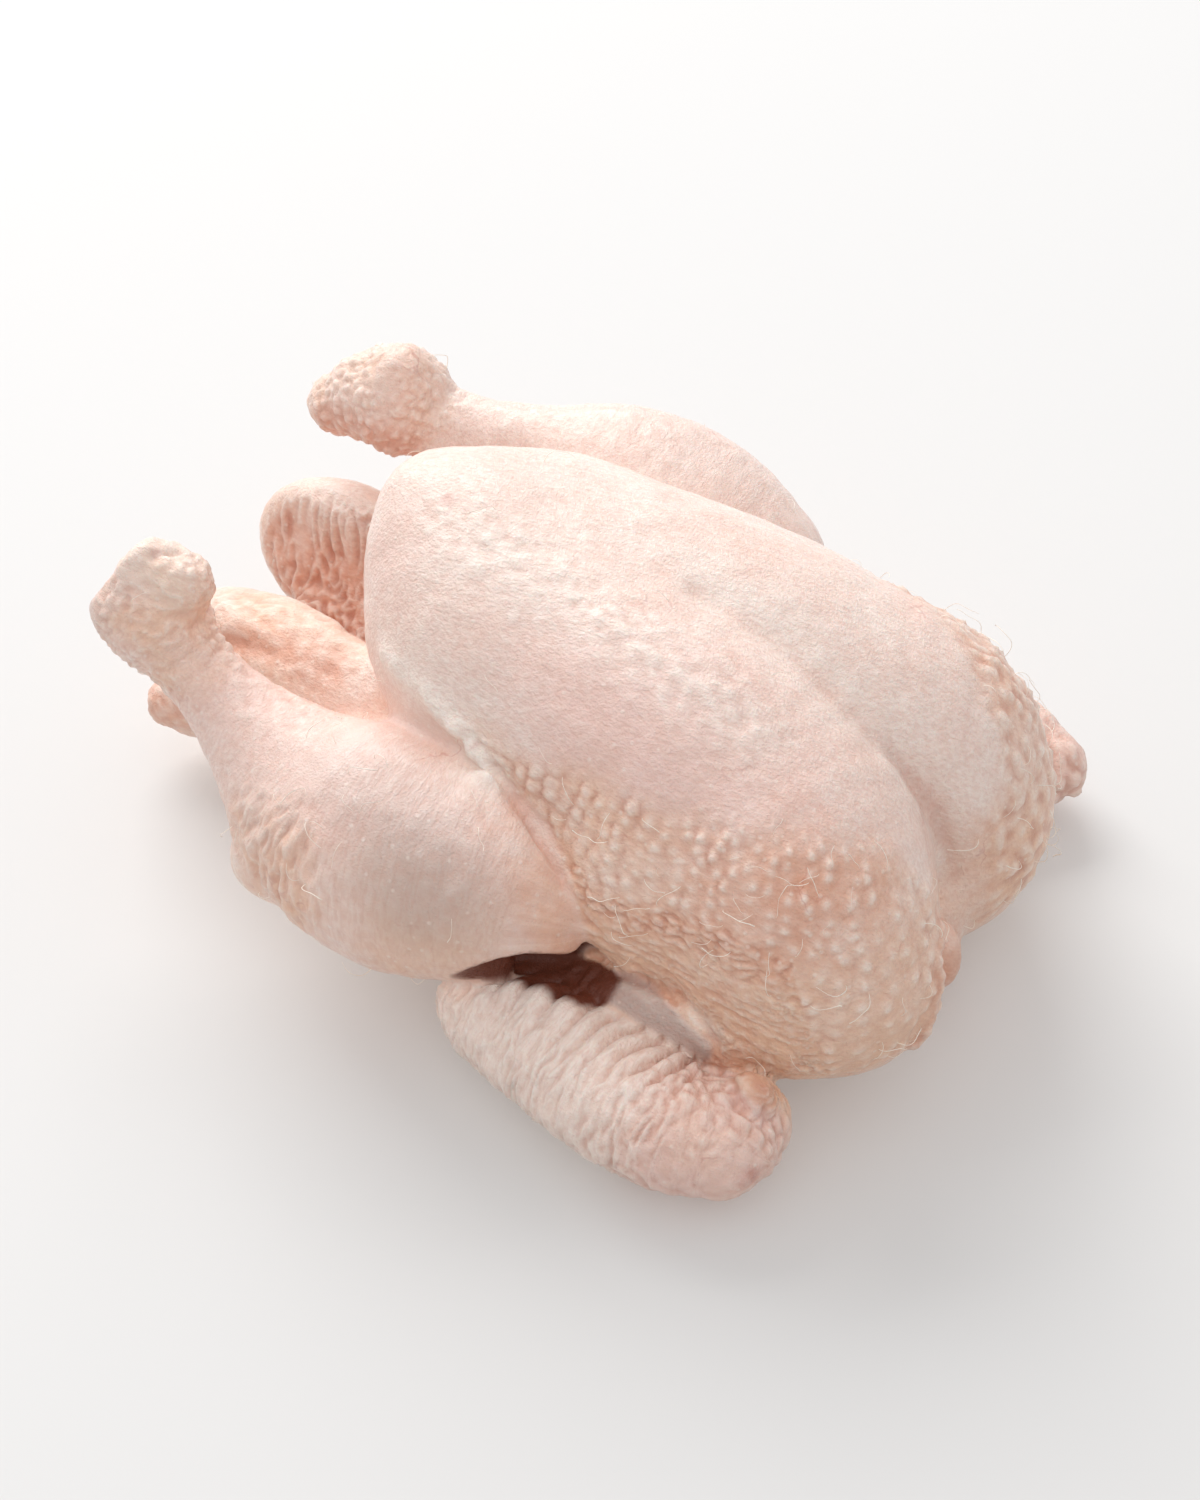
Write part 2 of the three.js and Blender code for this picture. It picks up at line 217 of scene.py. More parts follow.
def wing(p, side):
    outer = join(limb(p, FOREARMS[side], FOREARM_FLATNESS), limb(p, mirrored(WING_TIP, side)), BLEND["wing"])
    return join(limb(p, mirrored(UPPER_WING, side)), outer, BLEND["elbow"])


def bird(p):
    skin = join(torso(p), limb(p, TAIL), BLEND["tail"])
    skin = join(skin, limb(p, LEFT_LIP), BLEND["lip"])
    skin = join(skin, ellipsoid(p, RIGHT_LIP), BLEND["lip"])
    skin = carve(skin, limb(p, CAVITY), BLEND["cavity"])
    for side in (LEFT, RIGHT):
        skin = join(skin, leg(p, side), BLEND["leg"])
    for side in (LEFT, RIGHT):
        skin = join(skin, ellipsoid(p, ARM_FLESH, side), BLEND["arm"])
    skin = carve(skin, ellipsoid(p, ARMPIT_GAP), BLEND["gap"])
    skin = carve(skin, limb(p, GAP_UNDER_LEG), BLEND["cut"])
    for side in (LEFT, RIGHT):
        skin = join(skin, wing(p, side), BLEND["wing"])
    skin = join(skin, ellipsoid(p, THUMB), BLEND["thumb"])
    skin = join(skin, limb(p, NECK_SKIN), BLEND["neck"])
    skin = join(skin, ellipsoid(p, NECK_EDGE), BLEND["edge"])
    skin = join(skin, ellipsoid(p, NECK_FLAP), BLEND["flap"])
    return carve(skin, p[:, 2], BLEND["table"])


# ---------- tracing the skin ----------

CORNERS = np.array(list(itertools.product((0, 1), repeat=3)))
CORNER_BITS = 2 ** np.arange(8)


def is_one_sheet(mask):
    """Whether the cube's inside corners hang together along its edges, and its outside ones too."""
    for wanted in (0, 1):
        corners = {tuple(c) for c, bit in zip(CORNERS.tolist(), CORNER_BITS) if (mask & bit > 0) == wanted}
        if not corners:
            continue
        found = [corners.pop()]
        for here in found:
            beside = {c for c in corners if sum(abs(a - b) for a, b in zip(here, c)) == 1}
            corners -= beside
            found += beside
        if corners:
            return False
    return True


ONE_SHEET = np.array([is_one_sheet(mask) for mask in range(256)])


def corner_view(grid, corner):
    return grid[tuple(slice(c, n - 1 + c) for c, n in zip(corner, grid.shape))]


def sample_field(step):
    """The field on a grid, worked out only in blocks near the skin."""
    blocks = np.ceil((GRID_HIGH - GRID_LOW) / (step * BLOCK)).astype(int)
    span = step * BLOCK
    middles = np.stack(np.meshgrid(*[np.arange(n) for n in blocks], indexing="ij"), -1).reshape(-1, 3)
    far = bird(GRID_LOW + (middles + 0.5) * span).reshape(blocks)
    samples = far
    for axis in range(3):
        samples = np.repeat(samples, BLOCK, axis)
    samples = np.pad(samples, ((0, 1),) * 3, mode="edge")
    wanted = np.zeros(samples.shape, bool)
    for block in np.argwhere(np.abs(far) < span * NEAR_SHARE + NEAR_SLACK) * BLOCK:
        wanted[tuple(slice(b, b + BLOCK + 1) for b in block)] = True
    places = GRID_LOW + step * np.argwhere(wanted)
    samples[wanted] = np.concatenate([bird(places[i:i + BATCH]) for i in range(0, len(places), BATCH)])
    return samples


def fill_pinches(samples, step):
    """A cleft too narrow for the grid would pinch the skin to a line, so it is filled."""
    while True:
        inside = samples < 0
        masks = sum(corner_view(inside, c).astype(int) * bit for c, bit in zip(CORNERS, CORNER_BITS))
        cells = np.argwhere(~ONE_SHEET[masks])
        if not len(cells):
            return samples
        for cell in cells:
            corners = [tuple(cell + c) for c in CORNERS if samples[tuple(cell + c)] >= 0]
            if corners:
                samples[min(corners, key=lambda c: samples[c])] = -step * 0.01


def trace_skin(samples, step):
    """Vertices where the skin crosses grid cells, and one quad for each grid edge that it crosses."""
    inside = samples < 0
    count = sum(corner_view(inside, c).astype(int) for c in CORNERS)
    cells = np.argwhere((count > 0) & (count < 8))
    index = np.full(count.shape, -1)
    index[tuple(cells.T)] = np.arange(len(cells))
    total, crossings = np.zeros((len(cells), 3)), np.zeros(len(cells))
    for a, b in itertools.combinations(CORNERS, 2):
        if np.abs(a - b).sum() != 1:
            continue
        at_a, at_b = samples[tuple((cells + a).T)], samples[tuple((cells + b).T)]
        crossed = (at_a < 0) != (at_b < 0)
        t = np.where(crossed, at_a / np.where(crossed, at_a - at_b, 1), 0)
        total[crossed] += (a + t[:, None] * (b - a))[crossed]
        crossings[crossed] += 1
    vertices = GRID_LOW + step * (cells + total / crossings[:, None])
    quads = []
    for axis in range(3):
        u, v = (axis + 1) % 3, (axis + 2) % 3
        before = inside.take(range(inside.shape[axis] - 1), axis)
        after = inside.take(range(1, inside.shape[axis]), axis)
        edges = np.argwhere(before != after)
        leaving = before[tuple(edges.T)]

        def cell(du, dv):
            at = edges.copy()
            at[:, u] -= du
            at[:, v] -= dv
            return index[tuple(at.T)]

        ring = np.stack([cell(1, 1), cell(0, 1), cell(0, 0), cell(1, 0)], 1)
        quads.append(np.where(leaving[:, None], ring, ring[:, ::-1]))
    return vertices, np.vstack(quads)


def to_triangles(vertices, quads):
    """Splits each quad along its shorter diagonal."""
    first = np.linalg.norm(vertices[quads[:, 0]] - vertices[quads[:, 2]], axis=1)
    second = np.linalg.norm(vertices[quads[:, 1]] - vertices[quads[:, 3]], axis=1)
    short = (first <= second)[:, None]
    return np.vstack([
        np.where(short, quads[:, [0, 1, 2]], quads[:, [0, 1, 3]]),
        np.where(short, quads[:, [0, 2, 3]], quads[:, [1, 2, 3]]),
    ])


def vertex_normals(vertices, triangles):
    a, b, c = (vertices[triangles[:, k]] for k in range(3))
    across = np.cross(b - a, c - a)
    normals = np.zeros_like(vertices)
    for axis in range(3):
        for corner in range(3):
            normals[:, axis] += np.bincount(triangles[:, corner], across[:, axis], len(vertices))
    return normals / np.maximum(np.linalg.norm(normals, axis=1), 1e-9)[:, None]


def side_pairs(triangles):
    """The three sides of each triangle as sorted vertex pairs."""
    return np.sort(triangles[:, [[0, 1], [1, 2], [2, 0]]], axis=2)


def skin_edges(triangles):
    return np.unique(side_pairs(triangles).reshape(-1, 2), axis=0)


def neighbour_mean(values, edges):
    ends, others = np.concatenate([edges, edges[:, ::-1]]).T
    degree = np.bincount(ends, minlength=len(values))
    totals = [np.bincount(ends, values[others, k], len(values)) for k in range(values.shape[1])]
    return np.stack(totals, 1) / degree[:, None]


def spread(values, edges):
    """Each vertex's value evened out with its neighbours' and theirs."""
    return neighbour_mean(neighbour_mean(values[:, None], edges), edges)[:, 0]


def settle(vertices, triangles, step, rounds):
    """Evens the triangles out along the skin, then puts every vertex back on the field."""
    edges = skin_edges(triangles)
    for _ in range(rounds):
        normals = vertex_normals(vertices, triangles)
        move = neighbour_mean(vertices, edges) - vertices
        vertices = vertices + EASE * (move - (move * normals).sum(1)[:, None] * normals)
    for _ in range(2):
        normals = vertex_normals(vertices, triangles)
        depth = np.clip(bird(vertices), -BACK_LIMIT * step, BACK_LIMIT * step)
        vertices = vertices - depth[:, None] * normals
    return vertices


def refine(vertices, triangles, wanted):
    """Splits the wanted triangles in four, and their neighbours so that the skin stays closed."""
    sides, of_triangle = np.unique(side_pairs(triangles).reshape(-1, 2), axis=0, return_inverse=True)
    of_triangle = of_triangle.reshape(-1, 3)
    split = np.zeros(len(sides), bool)
    split[of_triangle[wanted]] = True
    while True:
        half_split = split[of_triangle].sum(1) == 2
        if not half_split.any():
            break
        split[of_triangle[half_split]] = True
    middle = np.full(len(sides), -1)
    middle[split] = len(vertices) + np.arange(split.sum())
    vertices = np.vstack([vertices, vertices[sides[split]].mean(1)])
    count = split[of_triangle].sum(1)
    a, b, c = triangles[count == 3].T
    ab, bc, ca = middle[of_triangle[count == 3]].T
    pieces = [triangles[count == 0]]
    pieces += [np.stack(corners, 1) for corners in ((a, ab, ca), (ab, b, bc), (ca, bc, c), (ab, bc, ca))]
    for k in range(3):
        chosen = (count == 1) & split[of_triangle[:, k]]
        a, b, c = triangles[chosen][:, [k, (k + 1) % 3, (k + 2) % 3]].T
        between = middle[of_triangle[chosen, k]]
        pieces += [np.stack((a, between, c), 1), np.stack((between, b, c), 1)]
    return vertices, np.vstack(pieces)


# ---------- where things are on the skin ----------


def smooth(value, low, high):
    t = np.clip((value - low) / (high - low), 0, 1)
    return t * t * (3 - 2 * t)


def blob(p, centre, radii, edge):
    """1 in an ellipsoid, fading to 0 at its rim over the given share of its radii."""
    reach = np.linalg.norm((p - np.array(centre)) / np.array(radii), axis=1)
    return 1 - smooth(reach, 1 - edge, 1)


def line_distance(p, points):
    """Distance to a polyline, and the length along it to the nearest place."""
    points = np.array(points, float)
    best, where, run = np.full(len(p), np.inf), np.zeros(len(p)), 0.0
    for start, end in zip(points, points[1:]):
        axis = end - start
        length = np.linalg.norm(axis)
        t = np.clip((p - start) @ axis / length ** 2, 0, 1)
        distance = np.linalg.norm(p - start - t[:, None] * axis, axis=1)
        nearer = distance < best
        best, where = np.where(nearer, distance, best), np.where(nearer, run + t * length, where)
        run += length
    return best, where


def near_line(p, points, width):
    return np.exp(-(line_distance(p, points)[0] / width) ** 2)


def grain(p, size, seed):
    """Smooth noise with features of about the size in millimetres, one for all directions or one each."""
    scaled = p / (np.ones(3) * size) + seed
    return np.array([noise.noise(point, noise_basis="PERLIN_NEW") for point in scaled.tolist()])


def domes(p, size, seed):
    """Rounded cells of about the size in millimetres: 1 in the middle of a cell, 0 at its border."""
    scaled = p / (np.ones(3) * size) + seed
    reach = np.array([noise.voronoi(point)[0][:2] for point in scaled.tolist()])
    return np.clip((reach[:, 1] - reach[:, 0]) * 1.6, 0, 1)


def around(p, stations, side):
    """Length along a limb's centre line, and the angle round it from the top towards the bird's outside."""
    line = spline(stations)[:, :3]
    run = line_distance(p, line)[1]
    lengths = np.concatenate([[0], np.cumsum(np.linalg.norm(np.diff(line, axis=0), axis=1))])
    off = p - np.stack([np.interp(run, lengths, line[:, k]) for k in range(3)], 1)
    return run, np.arctan2(off[:, 1] * side, off[:, 2])


# The strip along the breast's middle, from which its side is measured, as (x, half width) at its two ends.
# The side turns round to the front at this x, on this radius, and climbs the shoulder by this share.
NARROW_END, WIDE_END = (20, 4), (100, 20)
TURN_X, TURN_RADIUS, SHOULDER_CLIMB = 118.0, 78.0, 0.5


def flank_place(p):
    """Length along the breast's side from the leg round to the front, and height up it over the shoulder."""
    turn = np.maximum(p[:, 0] - TURN_X, 0)
    reach = np.abs(p[:, 1]) - np.interp(p[:, 0], (NARROW_END[0], WIDE_END[0]), (NARROW_END[1], WIDE_END[1]))
    reach = np.maximum(reach, 0.01)
    along = np.minimum(p[:, 0], TURN_X) + TURN_RADIUS * np.arctan2(turn, reach)
    return along, p[:, 2] + SHOULDER_CLIMB * np.maximum(TURN_RADIUS - np.hypot(turn, reach), 0)


# Feather follicles stand in columns. Column spacing in mm at the leg, how fast it widens towards the
# front, and the spacing within a column as a share of it. Then where columns and rows are counted from.
COLUMN_SPACING, COLUMN_WIDENING, ROW_SHARE = 6.4, 0.019, 0.76
TRACT_START, ROW_START = 30.0, 104.0
# How far a follicle strays from its place in column spacings, and how many columns and rows are drawn.
STRAY, DRAWS, DRAW_SEED = 0.27, 64, 7
# Squared radius of a bump's dome and of its tip, how steep it is above and below, and how much sizes differ.
DOME, TIP, STEEP_ABOVE, STEEP_BELOW, SIZE_SPREAD = 0.27, 0.045, 0.55, 1.3, 1.8
# Height of the dome alone, what crowding adds to it, and the height of the tip. Where the crowding ends.
DOME_HEIGHT, CROWDED_HEIGHT, TIP_HEIGHT, CROWDED = 0.32, 0.55, 0.7, (30, 85)


def follicles(along, up):
    """Height of the follicle bumps from 0 to 1, and of their tips alone. Pebbles crowd at the leg."""
    past = np.maximum(along - TRACT_START, 0)
    spacing = COLUMN_SPACING + COLUMN_WIDENING * past
    u = np.log1p(past * COLUMN_WIDENING / COLUMN_SPACING) / COLUMN_WIDENING
    v = (up - ROW_START) / (ROW_SHARE * spacing)
    jitter = np.random.default_rng(DRAW_SEED).uniform(-STRAY, STRAY, (DRAWS, DRAWS, 3))
    crowded = 1 - smooth(past, *CROWDED)
    height, tips = np.zeros(len(u)), np.zeros(len(u))
    for across, down in itertools.product((-1, 0, 1), (-1, 0, 1)):
        c = np.round(u) + across
        shift = 0.5 * (c % 2)
        r = np.round(v - shift) + down
        j = jitter[(c % DRAWS).astype(int), (r % DRAWS).astype(int)]
        du, dv = u - c - j[:, 0], (v - r - shift - j[:, 1]) * ROW_SHARE
        reach = du * du + np.where(dv > 0, STEEP_ABOVE, STEEP_BELOW) * dv * dv
        dome = np.maximum(1 - reach / DOME, 0) * (DOME_HEIGHT + CROWDED_HEIGHT * crowded)
        tip = np.exp(-reach / TIP)
        size = 1 + SIZE_SPREAD * j[:, 2]
        height = np.maximum(height, size * (dome + tip * TIP_HEIGHT * (1 - crowded)))
        tips = np.maximum(tips, size * tip)
    return height, tips


# Fine wrinkles on the breast run along a lobe, which is turned by this much from the bird's length.
LOBE_TURN = np.array(Matrix.Rotation(math.radians(14), 3, "Z") @ Matrix.Rotation(math.radians(12), 3, "Y"))
# The follicle tract's upper and lower border: length along the side, and height there.
TRACT_TOP = ((20, 44, 74, 110, 154, 188, 210, 230), (134, 137, 144, 150, 150, 143, 134, 104))
TRACT_FOOT = (
    (28, 43, 64, 82, 105, 125, 147, 160, 167, 176),
    (120, 114, 102, 98, 102, 106, 104, 96, 66, 36),
)
# The line where the left leg meets the breast, the stretched skin over it, and the cleft of the breast.
CREASE = [
    (14, -75, 126), (28, -80, 118), (40, -85, 112), (53, -91, 104),
    (65, -95, 95), (73, -97, 84), (76, -97, 66),
]
GROIN_WEB = [(-34, -58, 132), (-12, -66, 131), (8, -74, 126), (26, -84, 114)]
CLEFT = [(67, 1, 167), (101, 1, 157), (133, -1, 143), (154, 1, 127), (172, 4, 100), (181, 6, 65)]
UPPER_CLEFT, FRONT_CLEFT = CLEFT[:3], CLEFT[3:]
# The furrow over the left hock, the fold in the left lip, and the torn edge of skin at the neck.
HOCK_FURROW = [(-124, -71, 154), (-130, -78, 152), (-136, -86, 143), (-134, -93, 136)]
LIP_FOLD = [(-140, -46, 80), (-120, -44, 84), (-98, -42, 86), (-76, -42, 88)]
RAGGED_EDGE = [(190, -29, 79), (197, -38, 70), (200, -42, 56), (198, -44, 42), (192, -48, 30)]
# The gathered skin along the top of the left forearm, and the crevice beside its thumb.
WING_CREST = [(46, -120, 48), (56, -114, 48), (68, -111, 48), (84, -112, 50), (100, -114, 50)]
THUMB_CREVICE = [(146, -105, 46), (150, -113, 45), (155, -118, 42), (161, -121, 37)]
# The left upper arm under its bare thin skin, the groove between it and the breast, and its bright edge.
UPPER_ARM = [(86, -96, 50), (99, -97, 50), (111, -101, 48), (127, -103, 42)]
ARM_GROOVE = [(86, -90, 51), (101, -92, 54), (115, -94, 56), (125, -97, 55), (134, -100, 48)]
ARM_EDGE = [(134, -98, 50), (120, -97, 55)]
# The pale goose-pimpled band along the top of the left lobe.
UPPER_BAND = [(-30, -22, 175), (0, -27, 174), (30, -29, 170), (60, -38, 165), (91, -40, 160), (118, -40, 152)]
# Soft round places: middle, radii, and the share of the radii over which they fade out.
CALF = ((-40, -132, 80), (48, 32, 34), 0.6)
HOCKS = (((-124, -82, 126), (40, 34, 44), 0.5), ((-126, 76, 122), (44, 36, 42), 0.5))
LEFT_LIP_PLACE = ((-106, -34, 78), (62, 26, 34), 0.35)
RIGHT_LIP_FACE = ((-128, 34, 54), (58, 22, 50), 0.3)
TAIL_END = ((-156, -40, 28), (24, 20, 22), 0.5)
HAIRY_THIGH = ((-28, -116, 108), (42, 30, 30), 0.8)
# Wrinkles on a limb run across it: how far round it counts as one radian, in millimetres.
ROUND_LEG, ROUND_WING = 12.0, 7.2
# A zone weaker than this doesn't show, so its slow patterns are left out there.
FAINT = 0.01


def skin_zones(p):
    """Weights from 0 to 1 of each kind of skin, with places in mm that are squeezed along the wrinkles.

    "lie" is the place for the limbs and the breast's top, "side_lie" for its side, "fibre_lie" for torn skin.
    """
    x, y, z = p.T
    outside = np.abs(y)
    along, up = flank_place(p)
    zone = {"along": along, "up": up, "legs": np.zeros(len(p)), "wings": np.zeros(len(p))}
    lie = p @ LOBE_TURN * (0.45, 1.0, 1.0)
    limbs = (("leg", LEGS, ROUND_LEG, 1.0), ("wing", FOREARMS, ROUND_WING, FOREARM_FLATNESS))
    for side, (kind, forms, round_it, flatness) in itertools.product((LEFT, RIGHT), limbs):
        run, angle = around(p, forms[side], side)
        mine = (1 - smooth(limb(p, forms[side], flatness), 1, 6)) * (y * side > 0)
        zone[kind, side], zone[kind + "_run", side], zone[kind + "_angle", side] = mine, run, angle
        zone[kind + "s"] = np.maximum(zone[kind + "s"], mine)
        chosen = mine > 0.5
        lie[chosen] = np.stack([round_it * angle, run, 0 * run], 1)[chosen]
    off_legs, off_wings = 1 - zone["legs"], 1 - zone["wings"]
    bare = off_legs * off_wings * smooth(outside, 8, 30)
    over_foot = smooth(up - np.interp(along, *TRACT_FOOT), -5, 5)
    under_top = 1 - smooth(up - np.interp(along, *TRACT_TOP), -12, 8)
    under = bare * (1 - over_foot) * smooth(x, 50, 66) * smooth(outside, 60, 80) * smooth(z, 22, 36)
    lip_face = blob(p, *RIGHT_LIP_FACE) * smooth(-y, -60, -51) * smooth(y, 14, 22)
    zone["tract"] = bare * over_foot * under_top * smooth(x, 10, 22)
    zone["band"] = near_line(p, UPPER_BAND, 15)
    zone["arm"] = (1 - smooth(line_distance(p, UPPER_ARM)[0], 6.0, 8.5)) * off_wings
    zone["crumbs"] = (under * smooth(up, 80, 92) + 0.4 * bare * near_line(p, CREASE, 9)) * (1 - zone["arm"])
    zone["streaks"] = under * (1 - smooth(up, 80, 92)) * (1 - zone["arm"])
    zone["wormy"] = blob(p, *CALF) * zone["legs"]
    zone["hock"] = np.maximum(*[blob(p, *hock) for hock in HOCKS])
    zone["inner_lip"] = lip_face * off_legs * (1 - smooth(z, 89, 97))
    zone["left_lip"] = blob(p, *LEFT_LIP_PLACE) * off_legs
    zone["cavity"] = smooth(4 - limb(p, CAVITY), 0, 4) * smooth(x, -100, -80)
    zone["lie"] = lie
    zone["side_lie"] = np.stack([0.25 * (along - 0.2 * up), up + 0.2 * along, 0 * up], 1)
    zone["fibre_lie"] = p * (1.0, 1.0, 0.25)
    return zone


# ---------- relief: each part is a height in mm, times a zone's weight and a pattern ----------
# A pattern's last two numbers are its size in mm, for all directions or one each, and its seed.

# Folds and furrows along lines: height, below zero for a furrow, width, line, how far the fold lies from the
# line, and for an uneven fold how much its height varies, over what size, and the seed.
FOLDS = [
    (-2.6, 2.0, CREASE, (0, 0, 0)),
    (1.8, 5.0, CREASE, (-7, -4, 2)),
    (3.6, 5.0, GROIN_WEB, (0, 0, 0), 0.8, 8, 1.0),
    (-3.2, 2.6, ARM_GROOVE, (0, 0, 0)),
    (2.2, 4.5, ARM_GROOVE, (2, -1, 7), 1.0, 9, 4.0),
    (-2.8, 7.0, CLEFT, (0, 0, 0)),
    (-2.2, 3.5, FRONT_CLEFT, (0, 0, 0)),
    (1.2, 6.0, FRONT_CLEFT, (0, -9, 0)),
    (-3.0, 3.0, LIP_FOLD, (0, 0, 0)),
    (2.24, 2.6, RAGGED_EDGE, (0, 0, 0), 2.0, 6, 8.0),
    (-2.0, 2.0, HOCK_FURROW, (0, 0, 0)),
]
# Spacing of the gathered folds on a forearm in mm, and how much closer they get for each mm along it.
GATHER_SPACING, GATHER_CLOSING = 11.5, 0.02


def ridges(p, size, seed):
    """Sharp crests with round valleys between them, of about the size in millimetres: 1 on a crest."""
    return 1 - np.abs(grain(p, size, seed)) * 2.6


def fold_relief(p):
    height = np.zeros(len(p))
    for top, width, line, shift, *uneven in FOLDS:
        fold = top * near_line(p, np.array(line) + shift, width)
        if uneven:
            share, size, seed = uneven
            fold *= 1 + share * grain(p, size, seed)
        height += fold
    return height


def breast_relief(p, zone, warp, bumps):
    """Follicle bumps, goose pimples, crumbly skin beside the leg, and long low wrinkles under the breast."""
    height = zone["tract"] * ((1.15 + 1.1 * grain(p, 17, 1.0)) * bumps - 0.4 + 0.7 * grain(p, 7, 6.0))
    height += zone["band"] * (1.3 * grain(p, (4.5, 4.5, 8), 2.0) + 0.5 * grain(p, 10, 5.0) + 0.2)
    crumbly = zone["crumbs"] > FAINT
    place = p[crumbly]
    crumbs = 1.6 * domes(place * (0.8, 0.8, 1.25) + 0.8 * warp[crumbly, None], 5.2, 4.0)
    crumbs += 1.8 * grain(place, 7, 2.2) + 0.7 * ridges(zone["side_lie"][crumbly], 3.0, 4.0) - 1.1
    height[crumbly] += zone["crumbs"][crumbly] * crumbs
    broken = zone["side_lie"] + 1.6 * grain(p, 7, 5.0)[:, None] + 0.4 * warp[:, None]
    streaks = ridges(broken, (5, 4, 1), 4.0) + 0.9 * grain(p, (12, 12, 5), 6.0) - 0.4
    return height + zone["streaks"] * streaks


def wing_relief(p, zone, side):
    """Gathered folds across the forearm, deep on its inner side, fine wrinkles, and lumps at its tip."""
    wing, run, angle = zone["wing", side], zone["wing_run", side], zone["wing_angle", side]
    inner = smooth(-angle, -0.7, 0.5)
    phase = run / (GATHER_SPACING - GATHER_CLOSING * run) + 0.5 * grain(p, 24, 9.0) + 0.3 * angle
    folds = np.abs(np.sin(math.pi * phase)) ** 0.5 - 0.65
    ends = smooth(run, 0, 16) * (1 - smooth(run, 100, 116))
    height = ends * (0.25 + 5.4 * inner) * folds
    fine = ridges(np.stack([run + 3 * grain(p, 11, 2.0), 20 * angle, 0 * run], 1), (3.9, 15, 1), 6.0)
    height += (1 - 0.7 * inner) * (1 - 0.7 * smooth(run, 96, 112)) * (1.2 * fine - 0.4)
    height = height * wing
    lumps = wing * smooth(run, 78, 92)
    lumpy = lumps > FAINT
    lump = 2.4 * domes(p[lumpy], 7.5, 3.0) + 2.2 * grain(p[lumpy], 11, 3.0) - 1.0
    height[lumpy] += (lumps * (0.35 + 0.75 * inner))[lumpy] * lump
    if side == LEFT:
        height -= 4.0 * near_line(p, THUMB_CREVICE, 2.4) * wing
        height += 5.0 * near_line(p, WING_CREST, 8) * wing * (1 - smooth(p[:, 0], 66, 100))
    return height


def leg_relief(p, zone, warp):
    """Uneven skin, crinkled shanks, worm-like wrinkles on the calf, and scales on the hocks."""
    height = 0.35 * zone["legs"] * grain(p, 6, 5.5)
    for side in (LEFT, RIGHT):
        run, angle = zone["leg_run", side], zone["leg_angle", side]
        shank = smooth(run, 16, 30) * (1 - smooth(run, 62, 95)) * (1 - smooth(angle, 0.2, 0.9))
        height += 0.9 * zone["leg", side] * shank * grain(p, 5.5, 3.3)
    worms = 1.5 * ridges(zone["lie"] + warp[:, None], 4.8, 8.0) + 1.4 * grain(p, 7, 3.0) - 0.5
    height += zone["wormy"] * worms
    at_hock = zone["hock"] > FAINT
    place = p[at_hock]
    scaly = np.maximum(smooth(grain(place, 26, 4.4), -0.25, 0.15), place[:, 1] > 0)
    scales = scaly * (1.8 * domes(place + warp[at_hock, None], 5.2, 1.0) - 0.6) + 2.2 * grain(place, 15, 2.5)
    height[at_hock] += zone["hock"][at_hock] * (scales + 0.8 * ridges(place, (9, 9, 5), 3.0) - 0.4)
    return height


def rear_relief(p, zone, warp):
    """Wrinkled tail, torn fibres on the right lip and in the cavity, and the left lip's loose skin."""
    height = 1.6 * blob(p, *TAIL_END) * ridges(p, (9, 5, 5), 3.0)
    torn = np.maximum(zone["inner_lip"], 0.6 * zone["cavity"])
    height += torn * (2.0 * ridges(zone["fibre_lie"] + 0.5 * warp[:, None], (4.6, 4.6, 9), 2.0) - 0.9)
    height += 2.6 * zone["inner_lip"] * smooth(-p[:, 2], -60, -40) * grain(p, 5.5, 9.0)
    loose = 1.6 * grain(p, (20, 9, 11), 4.0) + 0.8 * ridges(zone["lie"], 4, 5.0) - 0.3
    return height + zone["left_lip"] * loose


def relief(p, zone):
    """Height of all relief over the smooth form in mm, and the follicles' tips and bumps from 0 to 1."""
    warp = 3.0 * grain(p, 24, 11.0)
    bumps, tips = follicles(zone["along"] + warp, zone["up"] + warp)
    plain = (1 - zone["tract"]) * (1 - zone["hock"]) * (1 - zone["wings"])
    height = 0.9 * grain(p, 38, 3.1) + 0.55 * grain(p, 15, 7.7) + 0.3 * plain * grain(zone["lie"], 3.6, 8.0)
    height += fold_relief(p) + breast_relief(p, zone, warp, bumps)
    height += wing_relief(p, zone, LEFT) + wing_relief(p, zone, RIGHT)
    height += leg_relief(p, zone, warp) + rear_relief(p, zone, warp)
    return height, tips * zone["tract"], bumps * zone["tract"]


# ---------- materials ----------

# Kinds of node. A Map Range takes the range it reads in 1 and 2 and gives the one in 3 and 4. A Mix has its
# factor in 0, its numbers in 2 and 3, and its colours in 6 and 7.
MATH, VECTOR_MATH = "ShaderNodeMath", "ShaderNodeVectorMath"
RANGE, MIX, BUMP = "ShaderNodeMapRange", "ShaderNodeMix", "ShaderNodeBump"
NOISE, CELLS, ATTRIBUTE = "ShaderNodeTexNoise", "ShaderNodeTexVoronoi", "ShaderNodeAttribute"
SURFACE, OUTPUT = "ShaderNodeBsdfPrincipled", "ShaderNodeOutputMaterial"


def linear(code):
    """An sRGB hex colour as linear RGBA."""
    parts = [int(code[i:i + 2], 16) / 255 for i in (0, 2, 4)]
    return tuple(c / 12.92 if c <= 0.04045 else ((c + 0.055) / 1.055) ** 2.4 for c in parts) + (1.0,)


def node(tree, kind, settings=None, links=None):
    """Adds a node, sets its properties or its inputs by name or number, and links its inputs."""
    made = tree.nodes.new(kind)
    for key, value in (settings or {}).items():
        if isinstance(key, str) and hasattr(made, key):
            setattr(made, key, value)
        else:
            made.inputs[key].default_value = value
    for key, source in (links or {}).items():
        tree.links.new(source, made.inputs[key])
    return made


def new_material(name):
    material = bpy.data.materials.new(name)
    material.use_nodes = True
    material.node_tree.nodes.clear()
    return material, material.node_tree


